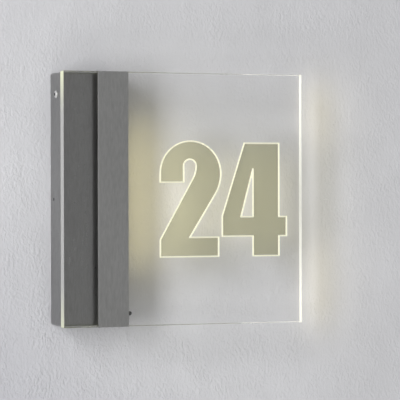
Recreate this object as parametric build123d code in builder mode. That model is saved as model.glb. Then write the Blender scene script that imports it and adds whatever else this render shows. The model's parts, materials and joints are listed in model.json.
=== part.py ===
"""Illuminated house number sign: an edge-lit clear panel clamped to a folded steel wall housing.

Frame: +X along the wall to the right, +Y into the wall, +Z up, millimetres.
The origin is on the wall, at the middle of the housing. A "depth" is a distance out from the wall,
so a point at depth d lies at y = -d, and Plane.XZ.offset(d) is the plane at that depth.
"""
import math
import os

from build123d import *

os.makedirs("parts", exist_ok=True)

# ---------------------------------------------------------------- driving dimensions, millimetres
# Clear cast acrylic panel
panel_width = 250.0
panel_height = 250.0
panel_thickness = 12.0
panel_edge_break = 0.4

# Steel housing, a folded box that is open to the wall
housing_width = 65.0
housing_end_inset = 0.5
housing_depth = 34.5
housing_wall = 1.5
housing_inner_bend = 0.5
rim_gap = 0.5
weep_hole_diameter = 3.5
weep_hole_depth = 11.0

# Clamp bar over the panel, with three welded studs
bar_width = 31.0
bar_thickness = 3.0
bar_edge_break = 0.3
bar_stud_inset = 7.0
bar_stud_end_margin = 30.0
bar_stud_diameter = 4.0
bar_stud_tail = 1.6
sleeve_wall = 0.9
sleeve_clearance = 0.05
stud_clearance = 0.25
stud_washer_diameter = 9.0
stud_washer_thickness = 0.8
m4_nut_flats = 7.0
m4_nut_height = 3.2
thread_clearance = 0.03

# Slot in the panel for the row of lights, and the angle that carries them
light_slot_width = 6.5
light_slot_edge_margin = 8.5
light_slot_end_margin = 23.5
light_slot_corner = 2.6
carrier_gap = 0.7
carrier_sheet = 1.5
carrier_foot_width = 12.3
carrier_foot_end_margin = 11.0
carrier_end_gap = 2.5
carrier_tip_gap = 1.0
carrier_bend = 0.6
lead_slot_gap = 0.5
lead_slot_width = 5.0
lead_slot_corner = 2.0
board_thickness = 1.2
board_width = 10.0
board_end_gap = 2.0
chip_length = 3.5
chip_width = 2.8
chip_height = 0.8
chip_count = 12
chip_pitch = 15.5
resistor_length = 3.2
resistor_width = 1.6
resistor_height = 0.6
resistor_every = 3
resistor_edge_margin = 1.2

# Digits: a milled line round each, and a tinted film inside the line
digit_height = 115.0
digit_right_margin = 14.0
digit_gap = 4.0
line_width = 1.5
line_depth = 0.8
film_thickness = 0.3
film_margin = 0.1
two_width = 64.0
two_foot_width = 61.5
two_foot_height = 19.2
two_hook_width = 24.6
two_hook_height = 74.1
two_eye_width = 13.2
two_eye_top = 97.0
two_outer_turn_radius = 38.6
two_outer_lean = 32.1
two_inner_turn_radius = 25.2
two_inner_lean = 29.6
four_height = 113.3
four_width = 69.2
four_crown_left = 23.6
four_stem_left = 33.0
four_stem_right = 61.0
four_bar_bottom = 20.0
four_bar_top = 39.4
four_elbow_height = 40.4
four_eye_left = 20.1
four_eye_top = 87.5

# Wall bracket, one folded sheet
bracket_sheet = 2.0
bracket_width = 46.0
bracket_inner_bend = 1.0
ear_height = 20.0
ear_clearance = 0.3
ear_tip_gap = 3.5
ear_tip_radius = 2.0
bracket_edge_tolerance = 0.01
foot_width = 20.0
notch_clearance = 0.25
wall_slot_spacing = 160.0
wall_slot_width = 5.2
wall_slot_length = 10.0
cable_hole_diameter = 13.0
cable_hole_height = 62.0

# Rubber grommet for the supply cable
grommet_bore = 9.0
grommet_lip_diameter = 17.0
grommet_lip_thickness = 2.0
grommet_clearance = 0.1

# Button-head fixing screws with square nuts
screw_diameter = 4.0
screw_length = 8.0
screw_head_diameter = 7.6
screw_head_height = 2.4
screw_head_crown = 4.2
screw_head_bulge = 0.5
screw_head_bulge_height = 1.5
screw_socket_flats = 2.5
screw_socket_depth = 1.4
screw_end_margin = 21.5
screw_depth_margin = 11.5
square_nut_side = 7.0
square_nut_height = 3.0
square_nut_gap = 0.1

# Dusk sensor in the right side, near the foot
sensor_end_margin = 11.5
sensor_depth_margin = 9.0
sensor_collar_diameter = 7.0
sensor_collar_height = 5.0
sensor_collar_taper = 6.0
sensor_thread_diameter = 6.0
sensor_thread_length = 6.0
sensor_eye_diameter = 4.4
sensor_eye_reach = 9.2
sensor_eye_round = 2.0
sensor_hole_clearance = 0.1
sensor_nut_flats = 8.0
sensor_nut_height = 2.5

# Driver, a two-part plastic case with its circuit board
driver_width = 26.0
driver_length = 80.0
driver_depth = 18.0
driver_wall = 1.5
driver_side_gap = 1.5
driver_height = -32.0
driver_corner = 2.0
driver_lug_length = 7.0
driver_lug_thickness = 2.0
driver_lug_width = 9.0
driver_lid_thickness = 1.6
driver_lid_lip = 1.0
driver_lid_clearance = 0.1
driver_board_thickness = 1.6
driver_board_margin = 1.0
driver_board_standoff = 3.0
transformer_width = 14.0
transformer_length = 16.0
transformer_height = 8.5
transformer_core = 5.0
transformer_offset = 8.0
transformer_flange = 1.5
capacitor_diameter = 8.0
capacitor_length = 12.0
capacitor_offset = -20.0
capacitor_edge_radius = 0.7
capacitor_lift = 0.1

# Terminal block, three poles
pole_count = 3
pole_pitch = 10.0
terminal_left_gap = 3.0
terminal_height = 41.0
terminal_base_thickness = 7.0
terminal_base_length = 18.0
terminal_tower_diameter = 6.4
terminal_tower_height = 13.0
terminal_tower_spacing = 9.6
terminal_axis_height = 4.2
terminal_bore_diameter = 4.2
terminal_screw_hole = 3.4
clamp_diameter = 4.1
clamp_bore = 2.4
clamp_length = 14.0
terminal_screw_diameter = 3.2
terminal_screw_length = 7.0
terminal_screw_slot = 0.6

# Weld studs inside the housing, M3, with their nuts and the earth lug
weld_stud_diameter = 3.0
weld_stud_tail = 1.2
weld_stud_hole = 3.4
m3_nut_flats = 5.5
m3_nut_height = 2.4
carrier_stud_spacing = 70.0
lug_thickness = 0.8
lug_ring_diameter = 7.2
lug_barrel_diameter = 3.4
lug_barrel_length = 6.0
lug_neck_length = 1.2
lug_neck_overlap = 1.7
lug_neck_width = 3.0
lug_side_gap = 1.0
lug_rise = 3.8
lug_lift = 0.1

# Leads
mains_lead_diameter = 2.2
light_lead_diameter = 1.3
sensor_lead_diameter = 1.0
lead_lift = 0.05
lead_bend_share = 0.45
mains_lead_run = 6.5
light_lead_foot = 4.5
light_lead_drop = 2.5
positive_pad_margin = 6.5
negative_pad_margin = 3.0
sensor_pin_pitch = 1.7
live_entry_offset = -6.0
neutral_entry_offset = 8.0
positive_entry_offset = 8.0
positive_entry_run = 7.5
positive_entry_behind = 6.5
negative_entry_offset = 4.4
negative_entry_run = 7.0
negative_entry_behind = 8.0
signal_entry_offset = -6.0
signal_entry_run = 9.5
return_entry_offset = -9.0
return_entry_run = 12.0
sensor_entry_behind = 9.5
signal_exit_run = 7.5
return_exit_run = 8.5

# ---------------------------------------------------------------- places that follow from them
housing_height = panel_height - 2 * housing_end_inset
panel_back = rim_gap + housing_depth
panel_front = panel_back + panel_thickness
inner_front = panel_back - housing_wall
inner_half_width = housing_width / 2 - housing_wall
inner_half_height = housing_height / 2 - housing_wall
housing_right = housing_width / 2
panel_left = -housing_width / 2
panel_right = panel_left + panel_width
panel_middle = (panel_left + panel_right) / 2
bar_left = housing_right - bar_width
bar_middle = housing_right - bar_width / 2
bar_stud_x = bar_left + bar_stud_inset
bar_stud_spacing = panel_height / 2 - bar_stud_end_margin
sleeve_diameter = bar_stud_diameter + 2 * (thread_clearance + sleeve_wall)
screw_height = housing_height / 2 - screw_end_margin
screw_depth = panel_back - screw_depth_margin

light_slot_right = housing_right - light_slot_edge_margin
light_slot_left = light_slot_right - light_slot_width
light_slot_length = panel_height - 2 * light_slot_end_margin
carrier_left = light_slot_left + carrier_gap
board_left = carrier_left + carrier_sheet
chip_left = board_left + board_thickness
carrier_length = light_slot_length - 2 * carrier_end_gap
carrier_foot_length = carrier_length - 2 * carrier_foot_end_margin
board_length = carrier_length - 2 * board_end_gap
board_depth = panel_back + panel_thickness / 2
lead_slot_left = carrier_left - lead_slot_gap
lead_slot_middle = lead_slot_left + lead_slot_width / 2
lead_slot_length = carrier_length + 2 * (lead_slot_gap + lead_slot_corner)
carrier_stud_x = carrier_left + carrier_foot_width - m3_nut_flats / 2 - carrier_sheet / 2

four_left = panel_right - digit_right_margin - four_width
two_left = four_left - digit_gap - two_foot_width
digit_foot = -digit_height / 2

driver_x = -inner_half_width + driver_side_gap + driver_width / 2
driver_top = driver_height + driver_length / 2
driver_bottom = driver_height - driver_length / 2
driver_stud_offset = driver_length / 2 + driver_lug_length / 2
terminal_width = pole_count * pole_pitch
terminal_x = -inner_half_width + terminal_left_gap + terminal_width / 2
terminal_axis = inner_front - terminal_axis_height
terminal_bottom = terminal_height - terminal_base_length / 2
terminal_stud_x = terminal_x + pole_pitch / 2
lug_x = carrier_left - lug_side_gap - lug_ring_diameter / 2
lug_height = terminal_height + lug_rise

sensor_height = -housing_height / 2 + sensor_end_margin
sensor_depth = panel_back - sensor_depth_margin

# Each weld stud: x, z and the thickness of what it holds
weld_studs_at = [
    (carrier_stud_x, -carrier_stud_spacing, carrier_sheet),
    (carrier_stud_x, 0.0, carrier_sheet),
    (carrier_stud_x, carrier_stud_spacing, carrier_sheet),
    (driver_x, driver_height + driver_stud_offset, driver_lug_thickness),
    (driver_x, driver_height - driver_stud_offset, driver_lug_thickness),
    (terminal_stud_x, terminal_height, terminal_base_thickness),
    (lug_x, lug_height, lug_thickness),
]


# ---------------------------------------------------------------- shared outlines
def outline_of_two(left, foot):
    """Closed outline of the figure 2, drawn anticlockwise from its lower left corner."""
    bowl = two_width / 2
    bowl_height = digit_height - bowl
    eye = two_eye_width / 2
    eye_height = two_eye_top - eye
    eye_right = two_hook_width + two_eye_width
    Polyline((left, foot), (left + two_foot_width, foot), (left + two_foot_width, foot + two_foot_height))
    outer = JernArc(
        start=(left + two_width, foot + bowl_height),
        tangent=(0, -1),
        radius=two_outer_turn_radius,
        arc_size=-two_outer_lean,
    )
    drop = (outer @ 1).Y - foot - two_foot_height
    throat = (outer @ 1).X - drop * math.tan(math.radians(two_outer_lean))
    Line((left + two_foot_width, foot + two_foot_height), (throat, foot + two_foot_height))
    Line((throat, foot + two_foot_height), outer @ 1)
    CenterArc((left + bowl, foot + bowl_height), bowl, 0, 180)
    Polyline(
        (left, foot + bowl_height),
        (left, foot + two_hook_height),
        (left + two_hook_width, foot + two_hook_height),
        (left + two_hook_width, foot + eye_height),
    )
    CenterArc((left + two_hook_width + eye, foot + eye_height), eye, 0, 180)
    inner = JernArc(
        start=(left + eye_right, foot + eye_height),
        tangent=(0, -1),
        radius=two_inner_turn_radius,
        arc_size=-two_inner_lean,
    )
    fall = ((inner @ 1).X - left) / math.tan(math.radians(two_inner_lean))
    heel = (inner @ 1).Y - fall
    Polyline(inner @ 1, (left, heel), (left, foot))


def outline_of_four(left, foot):
    """Closed outer outline of the figure 4, drawn anticlockwise from the foot of its stem."""
    Polyline(
        (left + four_stem_left, foot),
        (left + four_stem_right, foot),
        (left + four_stem_right, foot + four_bar_bottom),
        (left + four_width, foot + four_bar_bottom),
        (left + four_width, foot + four_bar_top),
        (left + four_stem_right, foot + four_bar_top),
        (left + four_stem_right, foot + four_height),
        (left + four_crown_left, foot + four_height),
        (left, foot + four_elbow_height),
        (left, foot + four_bar_bottom),
        (left + four_stem_left, foot + four_bar_bottom),
        close=True,
    )


def eye_of_four(left, foot):
    """Closed outline of the triangular eye of the figure 4."""
    Polyline(
        (left + four_eye_left, foot + four_bar_top),
        (left + four_stem_left, foot + four_bar_top),
        (left + four_stem_left, foot + four_eye_top),
        close=True,
    )


def lead_path(points):
    """Path of straight runs joined by tangent arcs, each as large as its two runs allow."""
    spots = [Vector(*point) for point in points]
    radii = []
    for before, corner, after in zip(spots, spots[1:], spots[2:]):
        turn = (corner - before).get_angle(after - corner)
        shorter = min((corner - before).length, (after - corner).length)
        radii.append(lead_bend_share * shorter / math.tan(math.radians(turn / 2)))
    print("lead radii:", ", ".join(f"{radius:.1f}" for radius in radii))
    return FilletPolyline(*spots, radius=radii)


# ---------------------------------------------------------------- wall bracket
ear_outer = inner_half_width - ear_clearance
ear_reach = inner_front - ear_tip_gap
foot_outer = inner_half_height - ear_clearance
bracket_bend = bracket_sheet + bracket_inner_bend
plate_top = screw_height + ear_height / 2
plate_bottom = foot_outer - bracket_bend
notch_radius = screw_diameter / 2 + notch_clearance
notch_run = ear_reach - screw_depth + ear_tip_radius

with BuildPart() as bracket_plate:
    with BuildSketch(Plane.XZ):
        with Locations((0, (plate_top - plate_bottom) / 2)):
            Rectangle(bracket_width, plate_top + plate_bottom)
        with Locations((0, screw_height)):
            Rectangle(2 * ear_outer, ear_height)
        with Locations((0, -foot_outer / 2)):
            Rectangle(foot_width, foot_outer)
    extrude(amount=bracket_sheet)
    for side in (-1, 1):
        with BuildSketch(Plane.YZ.offset(side * ear_outer)):
            with Locations((-ear_reach / 2, screw_height)):
                Rectangle(ear_reach, ear_height)
        extrude(amount=-side * bracket_sheet)
    with BuildSketch(Plane.XY.offset(-foot_outer)):
        with Locations((0, -ear_reach / 2)):
            Rectangle(foot_width, ear_reach)
    extrude(amount=bracket_sheet)
    back_edges = bracket_plate.edges().group_by(Axis.Y)[-1]
    ear_backs = back_edges.filter_by(Axis.Z).group_by(Axis.X)
    foot_back = back_edges.filter_by(Axis.X).group_by(Axis.Z)[0]
    fillet(ear_backs[0] + ear_backs[-1] + foot_back, radius=bracket_bend)
    inner_edges = bracket_plate.edges().filter_by(
        lambda edge: abs(edge.center().Y + bracket_sheet) < bracket_edge_tolerance
    )
    ear_fronts = inner_edges.filter_by(Axis.Z).group_by(Axis.X)
    foot_front = inner_edges.filter_by(Axis.X).filter_by(
        lambda edge: abs(edge.center().Z + foot_outer - bracket_sheet) < bracket_edge_tolerance
    )
    fillet(ear_fronts[0] + ear_fronts[-1] + foot_front, radius=bracket_inner_bend)
    ear_tips = bracket_plate.edges().filter_by(Axis.X).group_by(Axis.Y)[0]
    foot_tips = bracket_plate.edges().filter_by(Axis.Z).group_by(Axis.Y)[0].group_by(Axis.Z)[0]
    fillet(ear_tips.filter_by(lambda edge: edge.length < foot_width / 2) + foot_tips, radius=ear_tip_radius)
    with BuildSketch(Plane.YZ):
        with Locations((-screw_depth, screw_height)):
            Circle(notch_radius)
        with Locations((-screw_depth - notch_run / 2, screw_height)):
            Rectangle(notch_run, 2 * notch_radius)
    extrude(amount=housing_width, both=True, mode=Mode.SUBTRACT)
    with BuildSketch(Plane.XY.offset(-foot_outer)):
        with Locations((0, -screw_depth)):
            Circle(notch_radius)
        with Locations((0, -screw_depth - notch_run / 2)):
            Rectangle(2 * notch_radius, notch_run)
    extrude(amount=bracket_sheet, mode=Mode.SUBTRACT)
    with BuildSketch(Plane.XZ):
        with GridLocations(0, wall_slot_spacing, 1, 2):
            SlotOverall(wall_slot_length, wall_slot_width, rotation=90)
        with Locations((0, cable_hole_height)):
            Circle(cable_hole_diameter / 2)
    extrude(amount=bracket_sheet, mode=Mode.SUBTRACT)
bracket_plate.part.label = "bracket_plate"
export_step(bracket_plate.part, "parts/bracket_plate.step")

with BuildPart() as cable_grommet:
    with BuildSketch(Plane.XZ):
        with Locations((0, cable_hole_height)):
            Circle(cable_hole_diameter / 2 - grommet_clearance)
    extrude(amount=bracket_sheet)
    with BuildSketch(Plane.XZ.offset(bracket_sheet)):
        with Locations((0, cable_hole_height)):
            Circle(grommet_lip_diameter / 2)
    extrude(amount=grommet_lip_thickness)
    rim = cable_grommet.edges().filter_by(GeomType.CIRCLE).group_by(Axis.Y)[0]
    fillet(rim, radius=grommet_lip_thickness / 2)
    with BuildSketch(Plane.XZ):
        with Locations((0, cable_hole_height)):
            Circle(grommet_bore / 2)
    extrude(amount=bracket_sheet + grommet_lip_thickness, mode=Mode.SUBTRACT)
cable_grommet.part.label = "cable_grommet"
export_step(cable_grommet.part, "parts/cable_grommet.step")

# ---------------------------------------------------------------- steel housing
housing_outer_bend = housing_wall + housing_inner_bend
screw_hole_radius = screw_diameter / 2 + notch_clearance

with BuildPart() as housing_shell:
    with BuildSketch(Plane.XZ.offset(rim_gap)):
        Rectangle(housing_width, housing_height)
    extrude(amount=housing_depth)
    wall_side = housing_shell.faces().sort_by(Axis.Y)[-1]
    fillet(housing_shell.edges() - wall_side.edges(), radius=housing_outer_bend)
    offset(amount=-housing_wall, openings=housing_shell.faces().sort_by(Axis.Y)[-1])
    with BuildSketch(Plane.XZ.offset(inner_front)):
        with Locations((bar_stud_x, 0)):
            with GridLocations(0, bar_stud_spacing, 1, 3):
                Circle(bar_stud_diameter / 2 + stud_clearance)
        with Locations((lead_slot_middle, 0)):
            RectangleRounded(lead_slot_width, lead_slot_length, lead_slot_corner)
    extrude(amount=housing_wall, mode=Mode.SUBTRACT)
    with BuildSketch(Plane.YZ):
        with Locations((-screw_depth, screw_height)):
            Circle(screw_hole_radius)
    extrude(amount=housing_width, both=True, mode=Mode.SUBTRACT)
    with BuildSketch(Plane.XY.offset(-housing_height / 2)):
        with Locations((0, -screw_depth)):
            Circle(screw_hole_radius)
    extrude(amount=housing_wall, mode=Mode.SUBTRACT)
    with BuildSketch(Plane.YZ.offset(-housing_right)):
        with Locations((-weep_hole_depth, 0)):
            Circle(weep_hole_diameter / 2)
    extrude(amount=housing_wall, mode=Mode.SUBTRACT)
    with BuildSketch(Plane.YZ.offset(housing_right)):
        with Locations((-sensor_depth, sensor_height)):
            Circle(sensor_thread_diameter / 2 + sensor_hole_clearance)
    extrude(amount=-housing_wall, mode=Mode.SUBTRACT)
housing_shell.part.label = "housing_shell"
export_step(housing_shell.part, "parts/housing_shell.step")

# ---------------------------------------------------------------- panel and digits
with BuildSketch() as two_face:
    with BuildLine():
        outline_of_two(two_left, digit_foot)
    make_face()

with BuildSketch() as four_face:
    with BuildLine():
        outline_of_four(four_left, digit_foot)
    make_face()

with BuildSketch() as eye_face:
    with BuildLine():
        eye_of_four(four_left, digit_foot)
    make_face()

with BuildPart() as acrylic_panel:
    with BuildSketch(Plane.XZ.offset(panel_back)):
        with Locations((panel_middle, 0)):
            Rectangle(panel_width, panel_height)
    extrude(amount=panel_thickness)
    chamfer(acrylic_panel.edges(), length=panel_edge_break)
    with BuildSketch(Plane.XZ.offset(panel_back)):
        with Locations((bar_stud_x, 0)):
            with GridLocations(0, bar_stud_spacing, 1, 3):
                Circle(sleeve_diameter / 2 + sleeve_clearance)
        with Locations((light_slot_left + light_slot_width / 2, 0)):
            RectangleRounded(light_slot_width, light_slot_length, light_slot_corner)
    extrude(amount=panel_thickness, mode=Mode.SUBTRACT)
    for figure in (two_face.sketch, four_face.sketch, eye_face.sketch):
        with BuildSketch(Plane.XZ.offset(panel_back)):
            add(figure)
            offset(amount=line_width / 2, kind=Kind.ARC, mode=Mode.REPLACE)
            add(offset(figure, amount=-line_width / 2, mode=Mode.PRIVATE), mode=Mode.SUBTRACT)
        extrude(amount=line_depth, mode=Mode.SUBTRACT)
acrylic_panel.part.label = "acrylic_panel"
export_step(acrylic_panel.part, "parts/acrylic_panel.step")

film_inset = line_width / 2 + film_margin

with BuildPart() as digit_2_film:
    with BuildSketch(Plane.XZ.offset(panel_back - film_thickness)):
        add(two_face.sketch)
        offset(amount=-film_inset, kind=Kind.INTERSECTION, mode=Mode.REPLACE)
    extrude(amount=film_thickness)
digit_2_film.part.label = "digit_2_film"
export_step(digit_2_film.part, "parts/digit_2_film.step")

with BuildPart() as digit_4_film:
    with BuildSketch(Plane.XZ.offset(panel_back - film_thickness)):
        add(four_face.sketch)
        offset(amount=-film_inset, kind=Kind.INTERSECTION, mode=Mode.REPLACE)
        add(offset(eye_face.sketch, amount=film_inset, kind=Kind.ARC, mode=Mode.PRIVATE), mode=Mode.SUBTRACT)
    extrude(amount=film_thickness)
digit_4_film.part.label = "digit_4_film"
export_step(digit_4_film.part, "parts/digit_4_film.step")

# ---------------------------------------------------------------- clamp bar and its fastenings
with BuildPart() as clamp_bar:
    with BuildSketch(Plane.XZ.offset(panel_front)):
        with Locations((bar_middle, 0)):
            Rectangle(bar_width, panel_height)
    extrude(amount=bar_thickness)
    chamfer(clamp_bar.faces().sort_by(Axis.Y)[0].edges(), length=bar_edge_break)
clamp_bar.part.label = "clamp_bar"
export_step(clamp_bar.part, "parts/clamp_bar.step")

washer_depth = inner_front - stud_washer_thickness
stud_nut_depth = washer_depth - m4_nut_height
stud_end_depth = stud_nut_depth - bar_stud_tail
threaded_radius = bar_stud_diameter / 2 + thread_clearance

with BuildPart() as bar_studs:
    with BuildSketch(Plane.XZ.offset(stud_end_depth)):
        with Locations((bar_stud_x, 0)):
            with GridLocations(0, bar_stud_spacing, 1, 3):
                Circle(bar_stud_diameter / 2)
    extrude(amount=panel_front - stud_end_depth)
    chamfer(bar_studs.edges().filter_by(GeomType.CIRCLE).group_by(Axis.Y)[-1], length=bar_edge_break)
bar_studs.part.label = "bar_studs"
export_step(bar_studs.part, "parts/bar_studs.step")

with BuildPart() as stud_sleeves:
    with BuildSketch(Plane.XZ.offset(panel_back)):
        with Locations((bar_stud_x, 0)):
            with GridLocations(0, bar_stud_spacing, 1, 3):
                Circle(sleeve_diameter / 2)
                Circle(threaded_radius, mode=Mode.SUBTRACT)
    extrude(amount=panel_thickness)
stud_sleeves.part.label = "stud_sleeves"
export_step(stud_sleeves.part, "parts/stud_sleeves.step")

with BuildPart() as stud_washers:
    with BuildSketch(Plane.XZ.offset(washer_depth)):
        with Locations((bar_stud_x, 0)):
            with GridLocations(0, bar_stud_spacing, 1, 3):
                Circle(stud_washer_diameter / 2)
                Circle(bar_stud_diameter / 2 + stud_clearance, mode=Mode.SUBTRACT)
    extrude(amount=stud_washer_thickness)
stud_washers.part.label = "stud_washers"
export_step(stud_washers.part, "parts/stud_washers.step")

with BuildPart() as stud_nuts:
    with BuildSketch(Plane.XZ.offset(stud_nut_depth)):
        with Locations((bar_stud_x, 0)):
            with GridLocations(0, bar_stud_spacing, 1, 3):
                RegularPolygon(m4_nut_flats / 2, 6, major_radius=False)
                Circle(threaded_radius, mode=Mode.SUBTRACT)
    extrude(amount=m4_nut_height)
stud_nuts.part.label = "stud_nuts"
export_step(stud_nuts.part, "parts/stud_nuts.step")

# ---------------------------------------------------------------- light carrier, board and lights
carrier_tip = panel_front - carrier_tip_gap
carrier_back = inner_front - carrier_sheet

with BuildPart() as led_carrier:
    with BuildSketch(Plane.XZ.offset(carrier_back)):
        with Locations((carrier_left + carrier_foot_width / 2, 0)):
            Rectangle(carrier_foot_width, carrier_foot_length)
    extrude(amount=carrier_sheet)
    with BuildSketch(Plane.XZ.offset(carrier_back)):
        with Locations((carrier_left + carrier_sheet / 2, 0)):
            Rectangle(carrier_sheet, carrier_length)
    extrude(amount=carrier_tip - carrier_back)
    heel_edges = led_carrier.edges().filter_by(Axis.Z).group_by(Axis.Y)[-1].group_by(Axis.X)[0]
    fillet(heel_edges, radius=carrier_bend)
    with BuildSketch(Plane.XZ.offset(carrier_back)):
        with Locations((carrier_stud_x, 0)):
            with GridLocations(0, carrier_stud_spacing, 1, 3):
                Circle(weld_stud_hole / 2)
    extrude(amount=carrier_sheet, mode=Mode.SUBTRACT)
led_carrier.part.label = "led_carrier"
export_step(led_carrier.part, "parts/led_carrier.step")

with BuildPart() as led_board:
    with BuildSketch(Plane.YZ.offset(board_left)):
        with Locations((-board_depth, 0)):
            Rectangle(board_width, board_length)
    extrude(amount=board_thickness)
led_board.part.label = "led_board"
export_step(led_board.part, "parts/led_board.step")

with BuildPart() as led_chips:
    with BuildSketch(Plane.YZ.offset(chip_left)):
        with Locations((-board_depth, 0)):
            with GridLocations(0, chip_pitch, 1, chip_count):
                Rectangle(chip_width, chip_length)
    extrude(amount=chip_height)
led_chips.part.label = "led_chips"
export_step(led_chips.part, "parts/led_chips.step")

resistor_offset = board_width / 2 - resistor_edge_margin - resistor_width / 2

with BuildPart() as led_resistors:
    with BuildSketch(Plane.YZ.offset(chip_left)):
        with Locations((resistor_offset - board_depth, 0)):
            with GridLocations(0, chip_pitch * resistor_every, 1, chip_count // resistor_every):
                Rectangle(resistor_width, resistor_length)
    extrude(amount=resistor_height)
led_resistors.part.label = "led_resistors"
export_step(led_resistors.part, "parts/led_resistors.step")

# ---------------------------------------------------------------- driver
driver_case_depth = driver_depth - driver_lid_thickness
driver_back = inner_front - driver_case_depth
driver_cavity_width = driver_width - 2 * driver_wall
driver_cavity_length = driver_length - 2 * driver_wall
driver_board_front = inner_front - driver_wall - driver_board_standoff
driver_board_back = driver_board_front - driver_board_thickness
driver_board_width = driver_cavity_width - 2 * driver_board_margin
driver_board_length = driver_cavity_length - 2 * driver_board_margin
post_spread_x = driver_board_width - 2 * driver_wall
post_spread_z = driver_board_length - 2 * driver_wall
lid_lip_width = driver_cavity_width - 2 * driver_lid_clearance
lid_lip_length = driver_cavity_length - 2 * driver_lid_clearance
lid_well_width = lid_lip_width - 2 * driver_lid_lip
lid_well_length = lid_lip_length - 2 * driver_lid_lip

with BuildPart() as driver_case:
    with BuildSketch(Plane.XZ.offset(driver_back)):
        with Locations((driver_x, driver_height)):
            RectangleRounded(driver_width, driver_length, driver_corner)
    extrude(amount=driver_case_depth)
    with BuildSketch(Plane.XZ.offset(driver_back)):
        with Locations((driver_x, driver_height)):
            Rectangle(driver_cavity_width, driver_cavity_length)
    extrude(amount=driver_case_depth - driver_wall, mode=Mode.SUBTRACT)
    with BuildSketch(Plane.XZ.offset(driver_board_front)):
        with Locations((driver_x, driver_height)):
            with GridLocations(post_spread_x, post_spread_z, 2, 2):
                Circle(driver_wall)
    extrude(amount=driver_board_standoff)
    with BuildSketch(Plane.XZ.offset(inner_front - driver_lug_thickness)):
        with Locations((driver_x, driver_height)):
            with GridLocations(0, 2 * driver_stud_offset, 1, 2):
                Rectangle(driver_lug_width, driver_lug_length)
                Circle(weld_stud_hole / 2, mode=Mode.SUBTRACT)
    extrude(amount=driver_lug_thickness)
driver_case.part.label = "driver_case"
export_step(driver_case.part, "parts/driver_case.step")

with BuildPart() as driver_lid:
    with BuildSketch(Plane.XZ.offset(inner_front - driver_depth)):
        with Locations((driver_x, driver_height)):
            RectangleRounded(driver_width, driver_length, driver_corner)
    extrude(amount=driver_lid_thickness)
    with BuildSketch(Plane.XZ.offset(driver_back)):
        with Locations((driver_x, driver_height)):
            Rectangle(lid_lip_width, lid_lip_length)
            Rectangle(lid_well_width, lid_well_length, mode=Mode.SUBTRACT)
    extrude(amount=driver_lid_lip)
driver_lid.part.label = "driver_lid"
export_step(driver_lid.part, "parts/driver_lid.step")

with BuildPart() as driver_board:
    with BuildSketch(Plane.XZ.offset(driver_board_back)):
        with Locations((driver_x, driver_height)):
            Rectangle(driver_board_width, driver_board_length)
    extrude(amount=driver_board_thickness)
driver_board.part.label = "driver_board"
export_step(driver_board.part, "parts/driver_board.step")

with BuildPart() as driver_transformer:
    with BuildSketch(Plane.XZ.offset(driver_board_back)):
        with Locations((driver_x, driver_height + transformer_offset)):
            Rectangle(transformer_width, transformer_length - 2 * transformer_flange)
    extrude(amount=-transformer_height)
    with BuildSketch(Plane.XZ.offset(driver_board_back - transformer_flange)):
        with Locations((driver_x, driver_height + transformer_offset)):
            Rectangle(transformer_core, transformer_length)
    extrude(amount=-(transformer_height - 2 * transformer_flange))
driver_transformer.part.label = "driver_transformer"
export_step(driver_transformer.part, "parts/driver_transformer.step")

capacitor_axis = driver_board_back - capacitor_diameter / 2 - capacitor_lift

with BuildPart() as driver_capacitor:
    with BuildSketch(Plane.XY.offset(driver_height + capacitor_offset - capacitor_length / 2)):
        with Locations((driver_x, -capacitor_axis)):
            Circle(capacitor_diameter / 2)
    extrude(amount=capacitor_length)
    fillet(driver_capacitor.edges().filter_by(GeomType.CIRCLE), radius=capacitor_edge_radius)
driver_capacitor.part.label = "driver_capacitor"
export_step(driver_capacitor.part, "parts/driver_capacitor.step")

# ---------------------------------------------------------------- terminal block
terminal_base_back = inner_front - terminal_base_thickness
terminal_tower_back = inner_front - terminal_tower_height

with BuildPart() as terminal_block:
    with BuildSketch(Plane.XZ.offset(terminal_base_back)):
        with Locations((terminal_x, terminal_height)):
            Rectangle(terminal_width, terminal_base_length)
    extrude(amount=terminal_base_thickness)
    with BuildSketch(Plane.XZ.offset(terminal_tower_back)):
        with Locations((terminal_x, terminal_height)):
            with GridLocations(pole_pitch, terminal_tower_spacing, pole_count, 2):
                Circle(terminal_tower_diameter / 2)
    extrude(amount=terminal_tower_height)
    with BuildSketch(Plane.XY.offset(terminal_bottom)):
        with Locations((terminal_x, -terminal_axis)):
            with GridLocations(pole_pitch, 0, pole_count, 1):
                Circle(terminal_bore_diameter / 2)
    extrude(amount=terminal_base_length, mode=Mode.SUBTRACT)
    with BuildSketch(Plane.XZ.offset(terminal_tower_back)):
        with Locations((terminal_x, terminal_height)):
            with GridLocations(pole_pitch, terminal_tower_spacing, pole_count, 2):
                Circle(terminal_screw_hole / 2)
    extrude(amount=terminal_axis - terminal_tower_back, mode=Mode.SUBTRACT)
    with BuildSketch(Plane.XZ.offset(terminal_base_back)):
        with Locations((terminal_stud_x, terminal_height)):
            Circle(weld_stud_hole / 2)
    extrude(amount=terminal_base_thickness, mode=Mode.SUBTRACT)
terminal_block.part.label = "terminal_block"
export_step(terminal_block.part, "parts/terminal_block.step")

terminal_screw_front = terminal_axis - clamp_bore / 4
terminal_screw_back = terminal_screw_front - terminal_screw_length

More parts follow.
